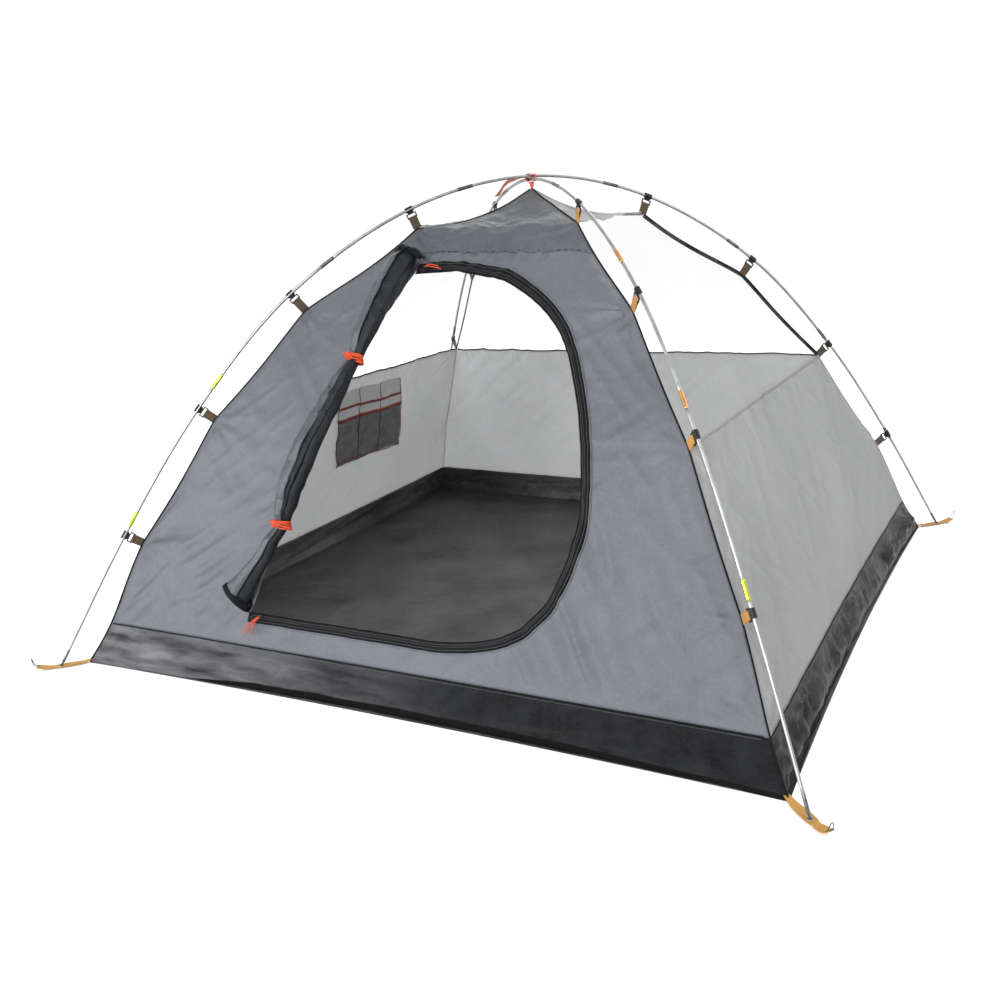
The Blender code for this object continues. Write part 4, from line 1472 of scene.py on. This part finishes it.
def make_corner_webbing(corner, signs, mats):
    """Webbing out from the tub's corner with an eyelet for the pole tip."""
    along, across = corner_directions(signs)
    foot = POLE_PROFILE[0][0] * HALF_DIAGONAL - 0.0017
    start, end = HALF_DIAGONAL - 0.012, WEBBING_END
    reach = np.linspace(start, end, 40)
    rise = 0.0035 + 0.010 * np.clip((HALF_DIAGONAL + 0.03 - reach) / 0.05, 0, 1) ** 2
    rise += (WEBBING_RISE - 0.0035) * np.clip((reach - foot - 0.012) / 0.05, 0, 1) ** 2
    half = 0.0140 - 0.0065 * np.exp(-((reach - start) / 0.035) ** 2)
    half -= 0.0035 * np.exp(-((reach - foot - 0.020) / 0.010) ** 2)
    rows = []
    for w in np.linspace(-1, 1, 9):
        cup = 0.0012 * w**2
        rows.append([along * r + across * w * h + UP * (z + cup) for r, z, h in zip(reach, rise, half)])
    points, faces = woven(rows)
    name = f"corner_webbing_{corner}"
    kept = []
    for face in faces:
        middle = np.mean([points[i] for i in face], axis=0)
        if np.hypot(*(middle - along * foot)[:2]) > 0.0052:
            kept.append(face)
    made = piece(name + "_strap", points, kept, mats["ochre_webbing"], "ochre_webbing", node=name)
    thicken(made, WEBBING_THICKNESS, 0.0)
    turns = np.linspace(0, 2 * math.pi, 28, endpoint=False)
    rings = []
    for lift in (0.0036, 0.0052):
        ring = along * foot + UP * lift + 0.0066 * (
            across * np.cos(turns)[:, None] + along * np.sin(turns)[:, None]
        )
        points, faces = swept(np.vstack([ring, ring[:1]]), 0.0012, 8)
        rings.append((points, faces))
    piece(f"eyelet_{corner}", *joined(rings), mats["steel"], "ochre_webbing")


# Ribbon's tail along pole b, as (share of the half diagonal, height over the pole)
RIBBON_TAIL = (
    (0.010, 0.0130),
    (0.050, 0.0150),
    (0.095, 0.0200),
    (0.140, 0.0230),
    (0.185, 0.0170),
    (0.228, 0.0080),
)


def make_apex_ribbon(mats):
    """Red ribbon tied round the crossing, down to the peak, with a free tail along a pole."""
    crossing, peak = POLE_PROFILE[-1][1], PEAK_PROFILE[-1][1]
    half, reach, lap = 0.010, 0.0150, 0.0118
    turns = np.linspace(0, 2 * math.pi, 49)
    square = [np.sign(v) * np.abs(v) ** 0.6 for v in (np.cos(turns), np.sin(turns))]
    path = np.column_stack([reach * square[0], lap * square[1]])
    rows = [[(x, w, crossing + z) for x, z in path] for w in np.linspace(-half, half, 7)]
    finish = mats["red_ribbon"]
    made = piece("ribbon_lap", *woven(rows), finish, "red_ribbon", node="apex_ribbon")
    thicken(made, RIBBON_THICKNESS, 1.0)
    knots = [(0, 0, crossing - lap - 0.001), (0.001, 0.0, crossing - 0.020), (0, 0, peak - 0.004)]
    tie = smooth_curve(knots, 10)
    widths = np.linspace(0.009, 0.003, len(tie))
    rows = [tie + np.array((0.7, 0.7, 0)) * (widths * w)[:, None] for w in (-1, -0.33, 0.33, 1)]
    made = piece("ribbon_tie", *woven(rows), finish, "red_ribbon")
    thicken(made, RIBBON_THICKNESS, 0.0)
    pole = smooth_curve([(share * HALF_DIAGONAL, z) for share, z in POLE_PROFILE])
    tail = []
    for share, lift in RIBBON_TAIL:
        r = share * HALF_DIAGONAL
        height = float(np.interp(-r, -pole[:, 0], pole[:, 1]))
        tail.append((-r * DIAGONAL_X - 0.006, r * DIAGONAL_Y, height + lift))
    tail = smooth_curve(tail, 10)
    curl = 0.004 * np.sin(np.linspace(0, 3 * math.pi, len(tail)))
    across = np.array((DIAGONAL_Y, DIAGONAL_X, 0.15))
    rows = [tail + across * 0.0095 * w + UP * (curl * w)[:, None] for w in (-1, -0.5, 0, 0.5, 1)]
    made = piece("ribbon_tail", *woven(rows), finish, "red_ribbon")
    thicken(made, RIBBON_THICKNESS, 0.0)


# The part's pocket from bottom to top, as (height, y of its front edge, y of its back edge)
POCKET_EDGES = (
    (0.336, 0.060, 0.472),
    (0.380, 0.042, 0.461),
    (0.515, -0.012, 0.394),
    (0.560, -0.032, 0.365),
    (0.632, -0.062, 0.305),
)
POCKET_BANDS = (0.565, 0.520)


def pocket_line(z, w, proud):
    """Points of the pocket at heights z, w of the way from its front edge to its back edge."""
    heights, fronts, backs = np.array(POCKET_EDGES).T
    front, back = np.interp(z, heights, fronts), np.interp(z, heights, backs)
    return wall_points("left", front + (back - front) * w, seam_at_height(z), proud)


def make_pocket(mats):
    """Gear pocket inside the left wall: dark mesh under a paler top, with red bindings."""
    low, mouth, top = POCKET_EDGES[0][0], POCKET_BANDS[1], POCKET_EDGES[-1][0]
    bands = (("pocket_mesh", low, mouth, "dark_mesh"), ("pocket_top", mouth, top, "pale_mesh"))
    for name, z0, z1, finish in bands:
        rows, columns = 24, 50
        w = np.tile(np.linspace(0, 1, columns), rows)
        z = np.repeat(np.linspace(z0, z1, rows), columns)
        slack = 0.004 * np.sin(w * 3 * math.pi) ** 2 * np.sin((z - z0) / (z1 - z0) * math.pi)
        points = pocket_line(z, w, -0.006 - slack)
        node = "gear_pocket" if name == "pocket_mesh" else None
        made = piece(name, points, grid_faces(rows, columns), mats[finish], "dark_mesh", node=node)
    lines = []
    w = np.linspace(0, 1, 40)
    for height, width in ((POCKET_BANDS[0], 0.0060), (mouth, 0.0075), (low, 0.0028)):
        sag = 0.006 * np.sin(w * 2 * math.pi) + 0.014 * (1 - w)
        z = np.full_like(w, height) + (sag if height == low else sag * 0.6 - 0.004)
        lines.append((z, w, width))
    z = np.linspace(low, top, 40)
    lines += [(z, np.full_like(z, share), 0.0026) for share in (0.0, 1.0)]
    parts = []
    for z, w, width in lines:
        curve = pocket_line(z, w, -0.0085)
        parts.append(swept(curve, width, 8, 0.25, pocket_line(z, w, -0.0185) - curve))
    piece("pocket_bindings", *joined(parts), mats["red_binding"], "dark_mesh")
    z = np.linspace(low, top, 40)
    parts = []
    for share in (0.33, 0.66):
        w = np.full_like(z, share)
        curve = pocket_line(z, w, -0.0075)
        parts.append(swept(curve, 0.0016, 6, 0.5, pocket_line(z, w, -0.0175) - curve))
    piece("pocket_dividers", *joined(parts), mats["zip_tape"], "dark_mesh")


def main():
    make_camera()
    mats = make_materials()
    make_cords(mats)
    make_stage()
    make_canopy(mats)
    make_seams(mats)
    make_zip(mats)
    make_rolled_door(mats)
    make_sliders(mats)
    make_poles(mats)
    for corner, signs in CORNERS.items():
        make_corner_webbing(corner, signs, mats)
    make_apex_ribbon(mats)
    make_pocket(mats)


main()
